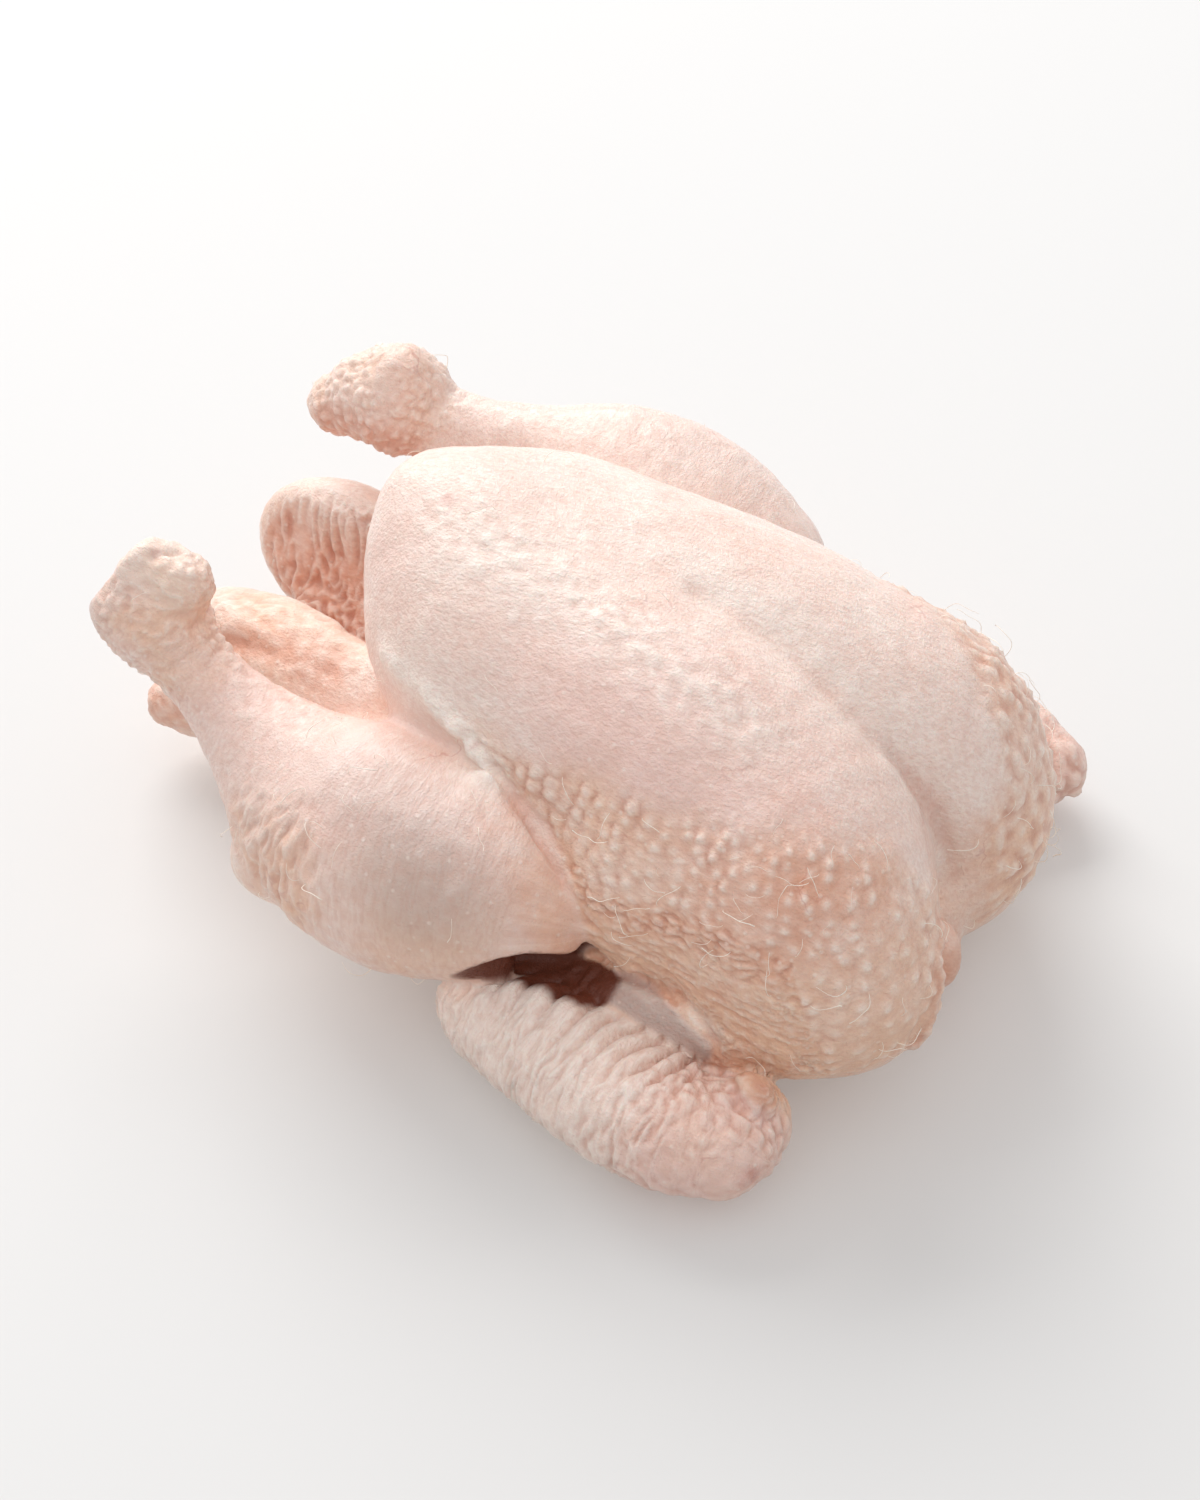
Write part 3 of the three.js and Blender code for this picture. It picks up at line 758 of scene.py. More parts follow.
# What the skin's mesh carries for its material: a weight from 0 to 1 for each of these at every vertex.
TINTS = ("blush", "fat", "grey", "raw", "groove", "pale", "blood_and_pit_shade", "dark")
# The layers of colour from the lowest up: tint, the colour it brings, and how much the mottling breaks it up.
LAYERS = (
    ("blush", "pink", 1.0), ("fat", "fat", 0.7), ("grey", "grey", 0.2), ("raw", "raw", 0.6),
    ("blood_and_pit_shade", "blood_and_pit_shade", 0.8), ("groove", "flush", 0.3), ("pale", "pale", 0.2),
)
# Real sizes of the skin's patterns in millimetres.
PATCH_SIZE, MOTTLE_SIZE, WRINKLE_SIZE, GRAIN_SIZE, FOLLICLE_SIZE = 28, 4.5, 1.5, 1.1, 6.5
VEIN_CELL, VEIN_BEND, VEIN_BEND_SIZE = 42, 14, 9


def skin_material(colours):
    """Raw poultry skin, scalded and plucked: thin, damp and see-through, so that it is cream where fat lies
    under it, pink over muscle and grey over bare membrane. It is paler on its ridges and darker in its folds,
    partly its own colour and partly painted highlight and painted shade, and painted shade fills the gap
    behind the wing."""
    material, tree = new_material("raw_poultry_skin")
    weight = {name: node(tree, ATTRIBUTE, {"attribute_name": name}).outputs["Fac"] for name in TINTS}
    seam = node(tree, ATTRIBUTE, {"attribute_name": "seam"}).outputs["Fac"]
    # Both places come in metres, and the patterns are sized in millimetres.
    place = node(tree, "ShaderNodeTexCoord").outputs["Object"]
    place = node(tree, VECTOR_MATH, {"operation": "SCALE", "Scale": 1 / MM}, {0: place}).outputs[0]
    lie = node(tree, ATTRIBUTE, {"attribute_name": "wrinkle_place"}).outputs["Vector"]
    lie = node(tree, VECTOR_MATH, {"operation": "SCALE", "Scale": 1 / MM}, {0: lie}).outputs[0]
    patches = node(tree, NOISE, {"Scale": 1 / PATCH_SIZE, "Detail": 4.0}, {"Vector": place}).outputs[0]
    mottled = {"Scale": 1 / MOTTLE_SIZE, "Detail": 4.0, "Roughness": 0.6}
    mottle = node(tree, NOISE, mottled, {"Vector": place}).outputs[0]
    squeezed = {"Scale": 1 / WRINKLE_SIZE, "Detail": 4.0, "Distortion": 0.4}
    wrinkle = node(tree, NOISE, squeezed, {"Vector": lie}).outputs[0]
    wrinkle = node(tree, MIX, {3: 0.5}, {0: seam, 2: wrinkle}).outputs[0]
    grained = {"Scale": 1 / GRAIN_SIZE, "Detail": 3.0, "Roughness": 0.6}
    fine = node(tree, NOISE, grained, {"Vector": place}).outputs[0]
    spotted = {"Scale": 1 / FOLLICLE_SIZE, "Randomness": 0.8}
    spots = node(tree, CELLS, spotted, {"Vector": place}).outputs["Distance"]

    # Colour: each layer covers the one under it by its weight, broken up by the mottling.
    swing = node(tree, MATH, {"operation": "MULTIPLY_ADD", 1: 1.6, 2: -0.8}, {0: patches}).outputs[0]
    swing = node(tree, MATH, {"operation": "MULTIPLY_ADD", 1: 0.9}, {0: mottle, 2: swing}).outputs[0]
    swing = node(tree, MATH, {"operation": "SUBTRACT", 1: 0.45}, {0: swing}).outputs[0]
    under = {}
    for name, top, spread in LAYERS:
        shift = node(tree, MATH, {"operation": "MULTIPLY", 1: spread}, {0: swing}).outputs[0]
        even = node(tree, MATH, {"operation": "SUBTRACT", 0: 1.0}, {1: weight[name]}).outputs[0]
        even = node(tree, MATH, {"operation": "MULTIPLY"}, {0: even, 1: weight[name]}).outputs[0]
        uneven = node(tree, MATH, {"operation": "MULTIPLY", 1: 4.0}, {0: even}).outputs[0]
        amount = node(tree, MATH, {"operation": "MULTIPLY_ADD", "use_clamp": True},
                      {0: uneven, 1: shift, 2: weight[name]}).outputs[0]
        layer = {"data_type": "RGBA", 6: colours.cream, 7: getattr(colours, top)}
        under = {6: node(tree, MIX, layer, {0: amount, **under}).outputs[2]}
    # The fine wrinkles' valleys take a little of the flush colour, partly the skin's own and partly painted
    # shade, and the follicles are pale points.
    furrow = node(tree, RANGE, {1: 0.6, 2: 0.36, 3: 0.0, 4: 0.22}, {0: wrinkle}).outputs[0]
    point = node(tree, RANGE, {1: 0.17, 2: 0.08, 3: 0.0, 4: 0.35}, {0: spots}).outputs[0]
    # Crooked veins about 1 mm wide, in a net with meshes of about 40 mm, show through in places.
    bends = {"Scale": 1 / VEIN_BEND_SIZE, "Detail": 2.0}
    crooked = node(tree, NOISE, bends, {"Vector": place}).outputs["Color"]
    bent = {"operation": "MULTIPLY_ADD", 1: (VEIN_BEND,) * 3}
    crooked = node(tree, VECTOR_MATH, bent, {0: crooked, 2: place}).outputs[0]
    net = {"feature": "DISTANCE_TO_EDGE", "Scale": 1 / VEIN_CELL}
    veins = node(tree, CELLS, net, {"Vector": crooked}).outputs["Distance"]
    veins = node(tree, RANGE, {1: 0.016, 2: 0.004, 3: 0.0, 4: 1.0}, {0: veins}).outputs[0]
    shown = node(tree, RANGE, {1: 0.56, 2: 0.7, 3: 0.0, 4: 0.3}, {0: patches}).outputs[0]
    veins = node(tree, MATH, {"operation": "MULTIPLY"}, {0: veins, 1: shown}).outputs[0]
    # The last cover paints the shade in the gap behind the wing.
    covers = {"flush": furrow, "pale": point, "blood_and_pit_shade": veins, "dark": weight["dark"]}
    for top, amount in covers.items():
        layer = {"data_type": "RGBA", 7: getattr(colours, top)}
        under = {6: node(tree, MIX, layer, {0: amount, **under}).outputs[2]}

    # Bump: the wrinkles, the skin's finest grain and the follicles, with their depths in millimetres.
    normal = {}
    for height, strength, depth in ((wrinkle, 0.6, 0.8), (fine, 0.8, 0.75), (point, 0.5, 0.5)):
        bump = node(tree, BUMP, {"Strength": strength, "Distance": depth * MM}, {"Height": height, **normal})
        normal = {"Normal": bump.outputs[0]}
    wet = node(tree, RANGE, {1: 0.3, 2: 0.7, 3: 0.28, 4: 0.54}, {0: mottle}).outputs[0]
    shader = node(tree, SURFACE, {
        "IOR": 1.42, "Subsurface Weight": 0.1, "Subsurface Radius": (1.0, 0.42, 0.26),
        "Subsurface Scale": 1.6 * MM, "Coat Weight": 0.25, "Coat Roughness": 0.16, "Coat IOR": 1.33,
    }, {"Base Color": under[6], "Roughness": wet, **normal})
    node(tree, OUTPUT, None, {"Surface": shader.outputs[0]})
    return material


def hair_material(colour):
    """Fine hairs of keratin that plucking leaves behind: pale and faintly glossy."""
    material, tree = new_material("plucked_bird_hair")
    shader = node(tree, SURFACE, {"Base Color": colour, "Roughness": 0.45, "IOR": 1.55})
    node(tree, OUTPUT, None, {"Surface": shader.outputs[0]})
    return material


def floor_material(colour):
    """Matt white studio paper."""
    material, tree = new_material("matt_studio_paper")
    shader = node(tree, SURFACE, {"Base Color": colour, "Roughness": 0.85})
    node(tree, OUTPUT, None, {"Surface": shader.outputs[0]})
    return material


# ---------- what a user can change ----------


def colour_property(name, description, code):
    return bpy.props.FloatVectorProperty(
        name=name, description=description, default=linear(code), size=4, min=0, max=1, subtype="COLOR")


class SkinSettings(bpy.types.PropertyGroup):
    """Sizes and colours of the skin"""

    grid: bpy.props.FloatProperty(
        name="Grid", description="Spacing of the grid that the skin is traced on, in millimetres",
        default=5.2, min=5.1, max=9.0)
    depth: bpy.props.FloatProperty(
        name="Relief", description="Share of the full relief",
        default=1.0, min=0.0, max=2.0, subtype="FACTOR")
    cream: colour_property("Cream", "Skin over fat", "F8E7DC")
    pink: colour_property("Pink", "Skin over muscle", "EFCFC5")
    fat: colour_property("Fat", "Yellow fat that shows through", "EFC6A8")
    # Grey also paints shade on the left leg next to the breast.
    grey: colour_property("Membrane", "Thin bare membrane", "C9B4AA")
    raw: colour_property("Raw", "Cut and bare tissue", "DD9C80")
    # Blood: the skin's bruises and veins, also used as painted shade in the pits of the torn lip.
    blood_and_pit_shade: colour_property("Blood", "Bruises, veins and pits", "B4574A")
    # Flush: the skin's own colour in its folds, used as painted shade too, darker in the hollows of the
    # relief.
    flush: colour_property("Flush", "Skin in the folds", "CC8F78")
    # Pale also paints highlights and light: on the relief's ridges and the follicle tips, the wings, the
    # right leg, the top of the groin web, the upper cleft's edge and the top of the left hock.
    pale: colour_property("Pale", "Ridges and the tips of the follicle bumps", "FBEFE4")
    # Painted shade: the gap behind the left wing is coloured dark brown, standing for the shade in it.
    dark: colour_property("Dark", "Depth of the gap behind the wing", "6E3826")


class HairSettings(bpy.types.PropertyGroup):
    """Number and size of the stray hairs"""

    density: bpy.props.FloatProperty(
        name="Density", description="Hairs in each square metre where they are thickest",
        default=6500.0, min=0)
    length: bpy.props.FloatProperty(
        name="Length", description="Length of a middling hair", default=9.5 * MM, min=1 * MM, unit="LENGTH")
    thickness: bpy.props.FloatProperty(
        name="Thickness", description="Thickness of a hair", default=0.24 * MM, min=0.1 * MM, unit="LENGTH")
    curl: bpy.props.FloatProperty(
        name="Curl", description="How far a hair strays from its arc", default=7 * MM, min=0, unit="LENGTH")
    seed: bpy.props.IntProperty(
        name="Seed", description="Another number scatters the hairs anew", default=4)
    colour: colour_property("Colour", "Hairs", "FFF4E6")


class StageSettings(bpy.types.PropertyGroup):
    """Floor, light and camera"""

    floor: colour_property("Floor", "Studio paper", "DBDAD8")
    key: bpy.props.FloatProperty(
        name="Key light", description="Power of the large soft light behind the bird",
        default=176.0, min=0, unit="POWER")
    fill: bpy.props.FloatProperty(
        name="Fill light", description="Power of the light overhead that casts no shadow",
        default=36.0, min=0, unit="POWER")
    sky: bpy.props.FloatProperty(
        name="Surround", description="Strength of the even light from all round", default=0.6, min=0)


# ---------- pieces ----------

# The resting side up to this height and the cavity deeper than this x are hidden, so they stay coarse.
REST_HEIGHT, DEEP_X = 9, -60


def is_seen(p):
    """Everything but the resting side and the inside of the body cavity."""
    inside = (limb(p, CAVITY) < 3) & (p[:, 0] > DEEP_X)
    return (p[:, 2] > REST_HEIGHT) & ~inside


def is_detailed(p):
    """The places with the finest relief: follicles, wrinkles, folded wing, hocks and cut edges."""
    zone = skin_zones(p)
    left, height = p[:, 1] < 0, p[:, 2]
    rough = np.maximum.reduce([zone[key] for key in ("tract", "crumbs", "streaks", "wormy")]) > 0.25
    wing = (zone["wing", LEFT] > 0.5) & (height > 22)
    hocks = (zone["hock"] > 0.25) & (height > 105)
    return (rough & left) | wing | hocks | (zone["inner_lip"] > 0.3) | (near_line(p, CREASE, 14) > 0.3)


def mesh_object(name, vertices, faces, material, values=None, places=None):
    """A mesh with its faces' corners as rows, and with numbers and places stored at its vertices."""
    mesh = bpy.data.meshes.new(name)
    mesh.vertices.add(len(vertices))
    mesh.vertices.foreach_set("co", np.asarray(vertices, np.float32).ravel())
    mesh.loops.add(faces.size)
    mesh.loops.foreach_set("vertex_index", faces.astype(np.int32).ravel())
    mesh.polygons.add(len(faces))
    mesh.polygons.foreach_set("loop_start", np.arange(len(faces), dtype=np.int32) * faces.shape[1])
    mesh.update(calc_edges=True)
    mesh.validate()
    for key, value in (values or {}).items():
        layer = mesh.attributes.new(key, "FLOAT", "POINT")
        layer.data.foreach_set("value", np.clip(value, 0, 1).astype(np.float32))
    for key, value in (places or {}).items():
        layer = mesh.attributes.new(key, "FLOAT_VECTOR", "POINT")
        layer.data.foreach_set("vector", value.astype(np.float32).ravel())
    mesh.polygons.foreach_set("use_smooth", np.ones(len(faces), bool))
    mesh.materials.append(material)
    made = bpy.data.objects.new(name, mesh)
    bpy.context.scene.collection.objects.link(made)
    return made


# How much of a tint each kind of skin has.
ZONE_TINTS = {
    "blush": {"legs": 0.4},
    "fat": {"tract": 0.45, "crumbs": 0.7, "streaks": 0.6, "left_lip": 0.4, "wings": 0.12, "wormy": 0.3},
    "raw": {"cavity": 0.9, "crumbs": 0.3},
    "grey": {"arm": 1.0},
    "pale": {"band": 0.4},
}
# Patches of a tint at one place: strength, middle, radii, and the share of the radii over which they fade.
PATCH_TINTS = {
    "blush": [(0.75, (80, -50, 140), (100, 52, 56), 0.7), (0.4, (-44, -24, 140), (30, 40, 46), 0.7)],
    # Painted shade: this fat patch and the last two grey patches darken the left leg next to the breast,
    # where the breast shades it.
    "fat": [(0.6, (24, -128, 84), (48, 28, 42), 0.8)],
    "raw": [
        (0.4, (-158, -42, 28), (22, 18, 20), 0.5), (0.6, (176, 2, 22), (18, 18, 26), 0.5),
        (0.5, (179, -6, 34), (14, 12, 22), 0.3), (0.9, (-124, 58, 114), (34, 20, 22), 0.5),
        (0.4, (142, -66, 112), (58, 54, 34), 0.7),
    ],
    "grey": [
        (0.4, (-148, -90, 128), (16, 14, 22), 0.6), (0.35, (-74, -44, 88), (26, 18, 20), 0.6),
        # Painted shade: these two darken the left leg next to the breast.
        (0.75, (22, -124, 94), (48, 34, 36), 0.8), (0.45, (-10, -108, 118), (52, 34, 32), 0.8),
    ],
    # Painted highlight: the second pale patch lightens the top of the left hock, where light falls on it.
    "pale": [(0.35, (-140, 42, 80), (40, 18, 22), 0.6), (0.35, (-126, -76, 146), (26, 22, 22), 0.6)],
    "blood_and_pit_shade": [
        (0.4, (-35, -16, 178), (5, 5, 5), 0.8), (0.4, (158, -110, 42), (12, 10, 11), 0.8),
        (0.35, (169, -132, 26), (7, 7, 7), 0.7), (0.5, (-129, -77, 154), (3.5, 3.5, 5), 0.6),
    ],
}
# Stripes of a tint along a line: strength, line, how far the stripe lies from it, and its width.
LINE_TINTS = {
    "raw": [(0.35, RAGGED_EDGE, (0, 0, 0), 6), (0.6, LIP_FOLD, (0, 0, 0), 8)],
    # Painted highlight: the pale stripe beside the upper cleft stands for its lit edge.
    "pale": [(0.35, UPPER_CLEFT, (0, 6, 0), 9), (0.5, ARM_EDGE, (0, 0, 0), 4)],
}


def skin_tints(p, zone, tips, bumps, hollow):
    """The weights in TINTS at every vertex, and how many hairs were left standing there."""
    x, y, z = p.T
    low = 1 - smooth(z, 40, 110)
    legs, wings = zone["legs"], zone["wings"]
    bare = (1 - legs) * (1 - wings)
    groin = near_line(p, np.array(CREASE) - (9, 5, 0), 12) * smooth(-z, -122, -96)
    between = zone["tract"] * (1 - np.clip(1.6 * bumps, 0, 1))
    # Painted shade: the carved gap behind the left wing is painted dark brown where shade fills it, and no
    # hairs stand there.
    carved = np.minimum(limb(p, GAP_UNDER_LEG), ellipsoid(p, ARMPIT_GAP))
    behind_wing = np.maximum(1 - wings, smooth(y, -116, -111))
    in_gap = (1 - smooth(carved, 0.5, 2.5)) * behind_wing * (1 - smooth(x, 88, 92)) * (y < 0)
    rough = np.minimum(zone["tract"] + zone["crumbs"] + zone["inner_lip"] + 0.6 * wings, 1)

    tints = {name: np.zeros(len(p)) for name in TINTS}
    for name, kinds in ZONE_TINTS.items():
        tints[name] += sum(share * zone[kind] for kind, share in kinds.items())
    for name, patches in PATCH_TINTS.items():
        tints[name] += sum(strength * blob(p, *patch) for strength, *patch in patches)
    for name, lines in LINE_TINTS.items():
        for strength, line, off, width in lines:
            tints[name] += strength * near_line(p, np.array(line) + off, width)
    tints["blush"] += 0.3 + wings * smooth(zone["wing_run", LEFT], 88, 112) + 0.25 * between
    # Lower down, the body and legs take more of the fat colour, warmer and darker towards the table.
    tints["fat"] += 0.1 + 0.45 * zone["hock"] * (1 + grain(p, 22, 8.0)) + low * (0.35 * bare + 0.25 * legs)
    tints["fat"] += 0.6 * groin
    tints["raw"] += zone["inner_lip"] * (0.7 - 0.4 * smooth(z, 50, 80)) + 0.35 * groin
    tints["raw"] += 0.3 * zone["streaks"] * smooth(grain(p, 16, 3.0), 0, 0.4)
    # Painted shade: the hollows of the relief, and the dips between the follicle bumps, take the flush
    # colour.
    tints["groove"] += (0.3 + 0.35 * rough) * smooth(hollow, 0.02, 0.45) + 0.06 * between
    # Painted highlight: the relief's ridges are paler, and the follicle tips partly so beside their own pale
    # colour. Painted light: the right leg, which faces the light, is paler.
    tints["pale"] += 0.2 * tips + 0.25 * (y > 50) * legs + 0.35 * smooth(-hollow, 0.03, 0.35)
    # Painted light: the wings are paler partly by their own colour and partly where light falls, and the top
    # of the groin web is a painted highlight.
    tints["pale"] += 0.4 * wings * (1 - smooth(x, 96, 120)) + near_line(p, GROIN_WEB, 9) * smooth(z, 108, 118)
    # Painted shade: the hollows of the torn right lip take the blood colour.
    tints["blood_and_pit_shade"] += 0.25 * zone["inner_lip"] * smooth(hollow, 0.2, 0.6)
    tints["dark"] += in_gap
    hairy = legs * (0.1 + 1.6 * blob(p, *HAIRY_THIGH)) + 0.6 * zone["tract"] + 0.5 * zone["crumbs"]
    hairy += 0.3 * zone["streaks"] + 0.05 * bare * smooth(z, 60, 100)
    tints["hairs"] = smooth(z, 22, 34) * (1 - in_gap) * hairy
    return tints


# Relief fades in between these heights over the table. Wrinkle places of neighbours that differ by more than
# this many millimetres mark a seam, where the fine pattern fades out.
RELIEF_STARTS, SEAM_JUMP = (0.5, 8), 1.5


class TURKEY_OT_skin(bpy.types.Operator):
    """Trace the bird's skin, raise its relief and give it raw poultry skin"""

    bl_idname = "turkey.skin"
    bl_label = "Skin"

    def execute(self, context):
        settings = context.scene.turkey_skin
        step = settings.grid
        vertices, quads = trace_skin(fill_pinches(sample_field(step), step), step)
        triangles = to_triangles(vertices, quads)
        vertices = settle(vertices, triangles, step, 4)
        for wanted in (is_seen, is_detailed)[:2]:
            step /= 2
            vertices, triangles = refine(vertices, triangles, wanted(vertices)[triangles].any(1))
            vertices = settle(vertices, triangles, step, 2)
        zone = skin_zones(vertices)
        height, tips, bumps = relief(vertices, zone)
        height = height * smooth(vertices[:, 2], *RELIEF_STARTS) * settings.depth
        raised = vertices + height[:, None] * vertex_normals(vertices, triangles)
        raised[:, 2] = np.maximum(raised[:, 2], 0)
        edges = skin_edges(triangles)
        tints = skin_tints(vertices, zone, tips, bumps, spread(height, edges) - height)
        # Where the wrinkles of a limb and of the body meet, their pattern fades out.
        jump = np.linalg.norm(neighbour_mean(zone["lie"], edges) - zone["lie"], axis=1)
        tints["seam"] = 3 * spread((jump > SEAM_JUMP).astype(float), edges)
        places = {"wrinkle_place": zone["lie"] * MM}
        material = skin_material(settings)
        skin = mesh_object("turkey_skin", (raised - MIDDLE) * MM, triangles, material, tints, places)
        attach(skin, "root")
        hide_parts("turkey")
        return {"FINISHED"}


# A hair's root under the skin, its bend and its tip, the last two in shares of its length.
HAIR_ROOT, HAIR_BEND, HAIR_TIP = (0, 0, -0.4 * MM), (0.2, 0.1, 0.6), (1.0, 0.0, 0.12)
HAIR_STEPS, HAIR_SIDES = 12, 3
# Hairs differ in size by these shares, and stray from their arc in bends of about this length.
SHORTEST, LONGEST, STRAY_LENGTH = 0.55, 1.5, 8 * MM


def hair_tree(material):
    """Geometry Nodes: curled hairs on a mesh, as many as its "hairs" attribute asks for at each place."""
    tree = bpy.data.node_groups.new("stray_hairs", "GeometryNodeTree")
    tree.interface.new_socket("Geometry", in_out="INPUT", socket_type="NodeSocketGeometry")
    for name in ("Density", "Length", "Thickness", "Curl"):
        tree.interface.new_socket(name, in_out="INPUT", socket_type="NodeSocketFloat")
    tree.interface.new_socket("Seed", in_out="INPUT", socket_type="NodeSocketInt")
    tree.interface.new_socket("Geometry", in_out="OUTPUT", socket_type="NodeSocketGeometry")
    given = node(tree, "NodeGroupInput").outputs
    stored = {"data_type": "FLOAT", "Name": "hairs"}
    share = node(tree, "GeometryNodeInputNamedAttribute", stored).outputs[0]
    dense = node(tree, MATH, {"operation": "MULTIPLY"}, {0: share, 1: given["Density"]}).outputs[0]
    spots = node(tree, "GeometryNodeDistributePointsOnFaces", None,
                 {"Mesh": given["Geometry"], "Density": dense, "Seed": given["Seed"]}).outputs
    # One hair rises from under the skin and bends over until it nearly lies down.
    middle, tip = (
        node(tree, VECTOR_MATH, {"operation": "SCALE", 0: place}, {"Scale": given["Length"]}).outputs[0]
        for place in (HAIR_BEND, HAIR_TIP))
    arc = node(tree, "GeometryNodeCurveQuadraticBezier", {"Resolution": HAIR_STEPS, "Start": HAIR_ROOT},
               {"Middle": middle, "End": tip}).outputs[0]
    way = node(tree, "GeometryNodeSplineParameter").outputs["Factor"]
    stored = {"data_type": "FLOAT", "domain": "POINT", "Name": "way"}
    arc = node(tree, "GeometryNodeStoreNamedAttribute", stored, {"Geometry": arc, "Value": way}).outputs[0]
    radius = node(tree, MATH, {"operation": "MULTIPLY", 1: 0.5}, {0: given["Thickness"]}).outputs[0]
    section = node(tree, "GeometryNodeCurvePrimitiveCircle", {"Resolution": HAIR_SIDES}, {"Radius": radius})
    hair = node(tree, "GeometryNodeCurveToMesh", {"Fill Caps": True},
                {"Curve": arc, "Profile Curve": section.outputs[0]}).outputs[0]
    turns = {"data_type": "FLOAT_VECTOR", 0: (0, 0, 0), 1: (0, 0, math.tau)}
    turn = node(tree, "FunctionNodeRandomValue", turns).outputs[0]
    turned = node(tree, "FunctionNodeRotateRotation", {"rotation_space": "LOCAL"},
                  {"Rotation": spots["Rotation"], "Rotate By": turn}).outputs[0]
    sizes = {"data_type": "FLOAT", 2: SHORTEST, 3: LONGEST}
    size = node(tree, "FunctionNodeRandomValue", sizes, {"Seed": given["Seed"]}).outputs[1]
    hairs = node(tree, "GeometryNodeInstanceOnPoints", None,
                 {"Points": spots["Points"], "Instance": hair, "Rotation": turned, "Scale": size}).outputs[0]
    hairs = node(tree, "GeometryNodeRealizeInstances", None, {"Geometry": hairs}).outputs[0]
    # Each hair strays from its arc, more towards its tip.
    stray = node(tree, NOISE, {"Scale": 1 / STRAY_LENGTH, "Detail": 0.0}).outputs["Color"]
    centred = {"operation": "SUBTRACT", 1: (0.5, 0.5, 0.5)}
    stray = node(tree, VECTOR_MATH, centred, {0: stray}).outputs[0]
    stored = {"data_type": "FLOAT", "Name": "way"}
    along = node(tree, "GeometryNodeInputNamedAttribute", stored).outputs[0]
    amount = node(tree, MATH, {"operation": "MULTIPLY"}, {0: along, 1: given["Curl"]}).outputs[0]
    stray = node(tree, VECTOR_MATH, {"operation": "SCALE"}, {0: stray, "Scale": amount}).outputs[0]
    hairs = node(tree, "GeometryNodeSetPosition", None, {"Geometry": hairs, "Offset": stray}).outputs[0]
    hairs = node(tree, "GeometryNodeSetMaterial", {"Material": material}, {"Geometry": hairs}).outputs[0]
    node(tree, "NodeGroupOutput", None, {"Geometry": hairs})
    return tree


class TURKEY_OT_hairs(bpy.types.Operator):
    """Scatter the few fine hairs that plucking leaves on the skin"""

    bl_idname = "turkey.hairs"
    bl_label = "Hairs"

    def execute(self, context):
        settings = context.scene.turkey_hair
        skin = bpy.data.objects.get("turkey_skin")
        if not skin:
            raise RuntimeError("the skin comes before its hairs")
        hairs = bpy.data.objects.new("turkey_hairs", skin.data)
        context.scene.collection.objects.link(hairs)
        tree = hair_tree(hair_material(settings.colour))
        modifier = hairs.modifiers.new("stray_hairs", "NODES")
        modifier.node_group = tree
        for socket in tree.interface.items_tree:
            if socket.in_out == "INPUT" and hasattr(settings, socket.name.lower()):
                modifier[socket.identifier] = getattr(settings, socket.name.lower())
        result = hairs.evaluated_get(context.evaluated_depsgraph_get())
        mesh = bpy.data.meshes.new_from_object(result)
        hairs.modifiers.clear()
        hairs.data = mesh
        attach(hairs, "root")
        return {"FINISHED"}


CAMERA_AZIMUTH = math.radians(31.4)
CAMERA_RISE = math.radians(45.0)
CAMERA_TARGET = Vector((15.04, 3.96, 60.0)) * MM
LENS, SENSOR, CLIP_END = 85.0, 36.0, 50.0
CAMERA_DISTANCE = 1416.7 * MM
# The studio, in metres: half the floor's side, the key lamp's sides, place and aim, and the fill lamp.
FLOOR_REACH = 6.0
KEY_SIDES, KEY_PLACE, KEY_AIM = (3.6, 3.0), Vector((-2.95, 2.25, 2.6)), Vector((0, 0, 0.05))
FILL_SIDE, FILL_PLACE = 3.0, (-0.3, -0.3, 3.2)
SURROUND_COLOUR = "FCFCFF"


def place_object(name, data, location, back=None):
    """Adds a lamp or a camera, which looks straight down or away from the direction given as its back."""
    placed = bpy.data.objects.new(name, data)
    placed.location = location
    if back is not None:
        placed.rotation_euler = (-back).to_track_quat("-Z", "Y").to_euler()
    bpy.context.scene.collection.objects.link(placed)
    return placed


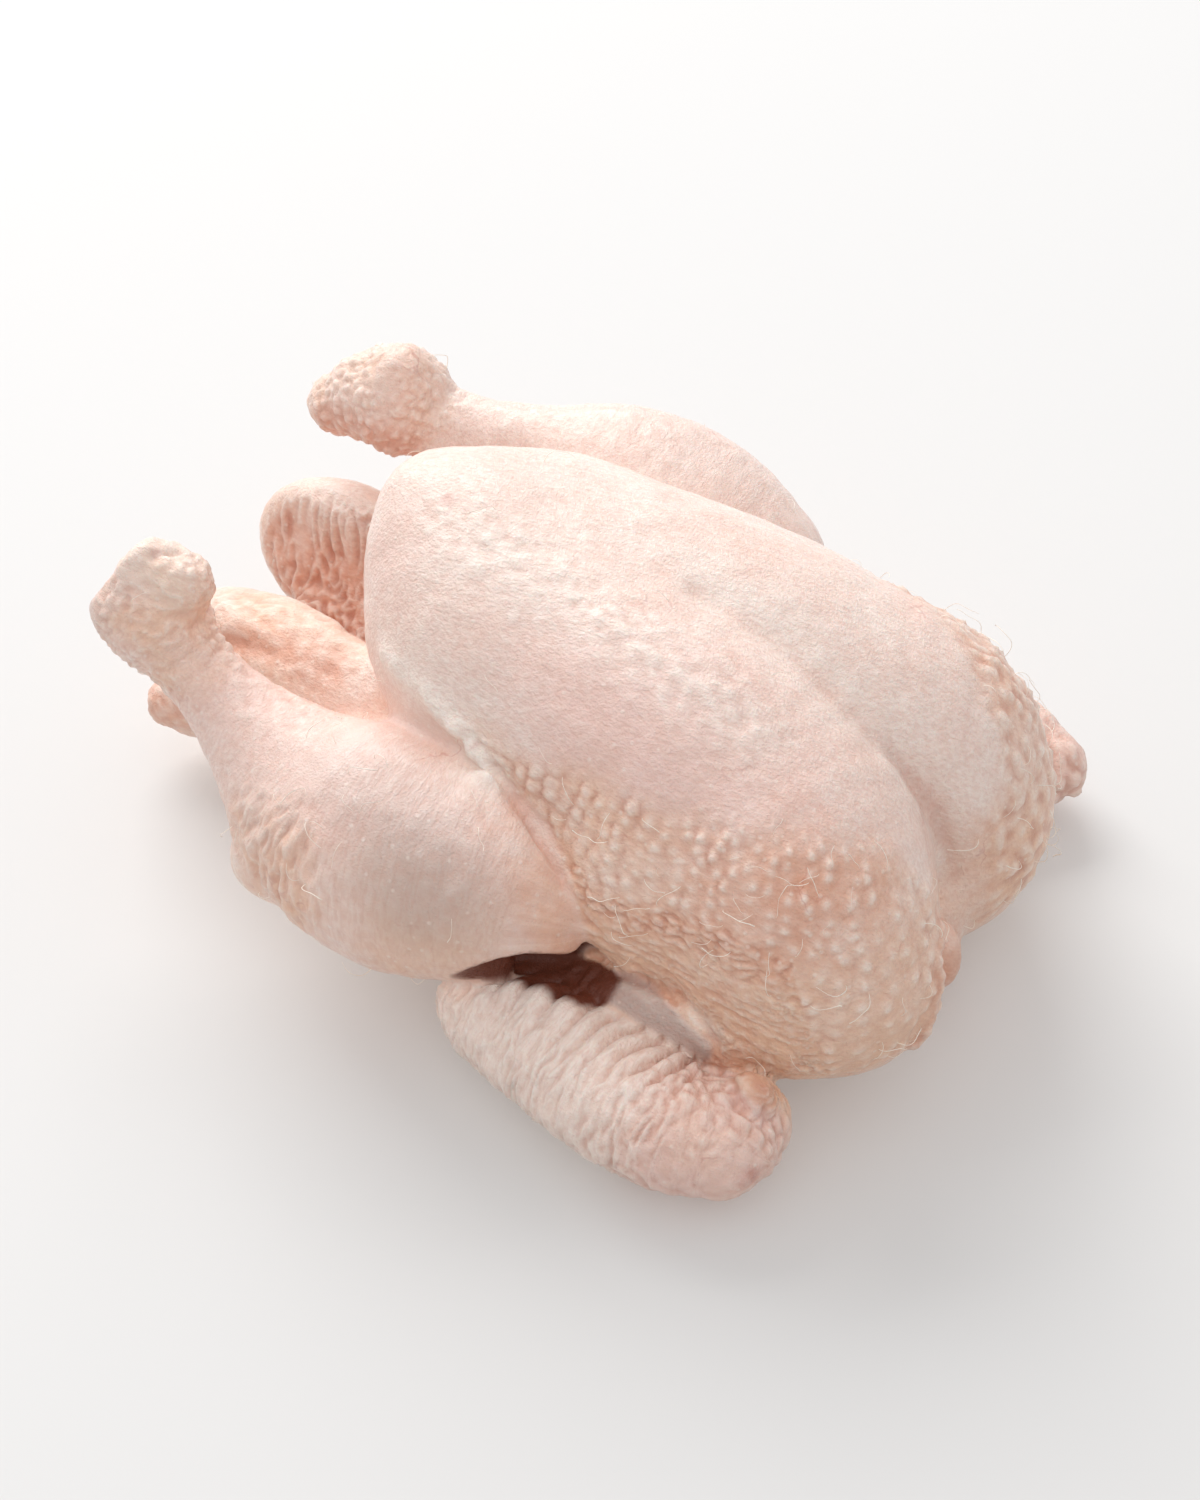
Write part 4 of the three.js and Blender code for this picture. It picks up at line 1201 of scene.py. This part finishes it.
class TURKEY_OT_stage(bpy.types.Operator):
    """Set up the pale floor, the soft light and the camera"""

    bl_idname = "turkey.stage"
    bl_label = "Stage"

    def execute(self, context):
        scene = context.scene
        settings = scene.turkey_stage
        corners = FLOOR_REACH * np.array([(-1, -1, 0), (1, -1, 0), (1, 1, 0), (-1, 1, 0)])
        floor = mesh_object("studio_floor", corners, np.array([[0, 1, 2, 3]]), floor_material(settings.floor))

        world = bpy.data.worlds.new("studio_surround")
        world.use_nodes = True
        background = world.node_tree.nodes["Background"]
        background.inputs["Color"].default_value = linear(SURROUND_COLOUR)
        background.inputs["Strength"].default_value = settings.sky
        scene.world = world

        key = bpy.data.lights.new("softbox", "AREA")
        key.shape, key.energy = "RECTANGLE", settings.key
        key.size, key.size_y = KEY_SIDES
        place_object("softbox", key, KEY_PLACE, KEY_PLACE - KEY_AIM)

        # Walls and paper all round the bird lift its shadows, which a wide lamp without a shadow stands for.
        fill = bpy.data.lights.new("overhead_fill", "AREA")
        fill.size, fill.energy, fill.use_shadow = FILL_SIDE, settings.fill, False
        place_object("overhead_fill", fill, FILL_PLACE)

        lens = bpy.data.cameras.new("camera")
        lens.lens, lens.sensor_fit, lens.sensor_height, lens.clip_end = LENS, "VERTICAL", SENSOR, CLIP_END
        aside, ahead = math.sin(CAMERA_AZIMUTH), -math.cos(CAMERA_AZIMUTH)
        level = math.cos(CAMERA_RISE)
        back = Vector((aside * level, ahead * level, math.sin(CAMERA_RISE)))
        scene.camera = place_object("camera", lens, CAMERA_TARGET + back * CAMERA_DISTANCE, back)
        scene.view_settings.view_transform = "Standard"
        return {"FINISHED"}


class TURKEY_PT_panel(bpy.types.Panel):
    """Turkey settings and pieces"""

    bl_idname = "TURKEY_PT_panel"
    bl_label = "Whole raw turkey"
    bl_space_type = "VIEW_3D"
    bl_region_type = "UI"
    bl_category = "Turkey"

    def draw(self, context):
        scene = context.scene
        for settings, operator in ((scene.turkey_skin, TURKEY_OT_skin), (scene.turkey_hair, TURKEY_OT_hairs),
                                   (scene.turkey_stage, TURKEY_OT_stage)):
            box = self.layout.box()
            for key in settings.__annotations__:
                box.prop(settings, key)
            box.operator(operator.bl_idname)


CLASSES = (
    SkinSettings, HairSettings, StageSettings,
    TURKEY_OT_skin, TURKEY_OT_hairs, TURKEY_OT_stage, TURKEY_PT_panel,
)


def register():
    for one in CLASSES:
        bpy.utils.register_class(one)
    bpy.types.Scene.turkey_skin = bpy.props.PointerProperty(type=SkinSettings)
    bpy.types.Scene.turkey_hair = bpy.props.PointerProperty(type=HairSettings)
    bpy.types.Scene.turkey_stage = bpy.props.PointerProperty(type=StageSettings)


def unregister():
    del bpy.types.Scene.turkey_skin
    del bpy.types.Scene.turkey_hair
    del bpy.types.Scene.turkey_stage
    for one in reversed(CLASSES):
        bpy.utils.unregister_class(one)


def main():
    register()
    bpy.ops.turkey.skin()
    bpy.ops.turkey.hairs()
    bpy.ops.turkey.stage()


if __name__ == "__main__":
    main()
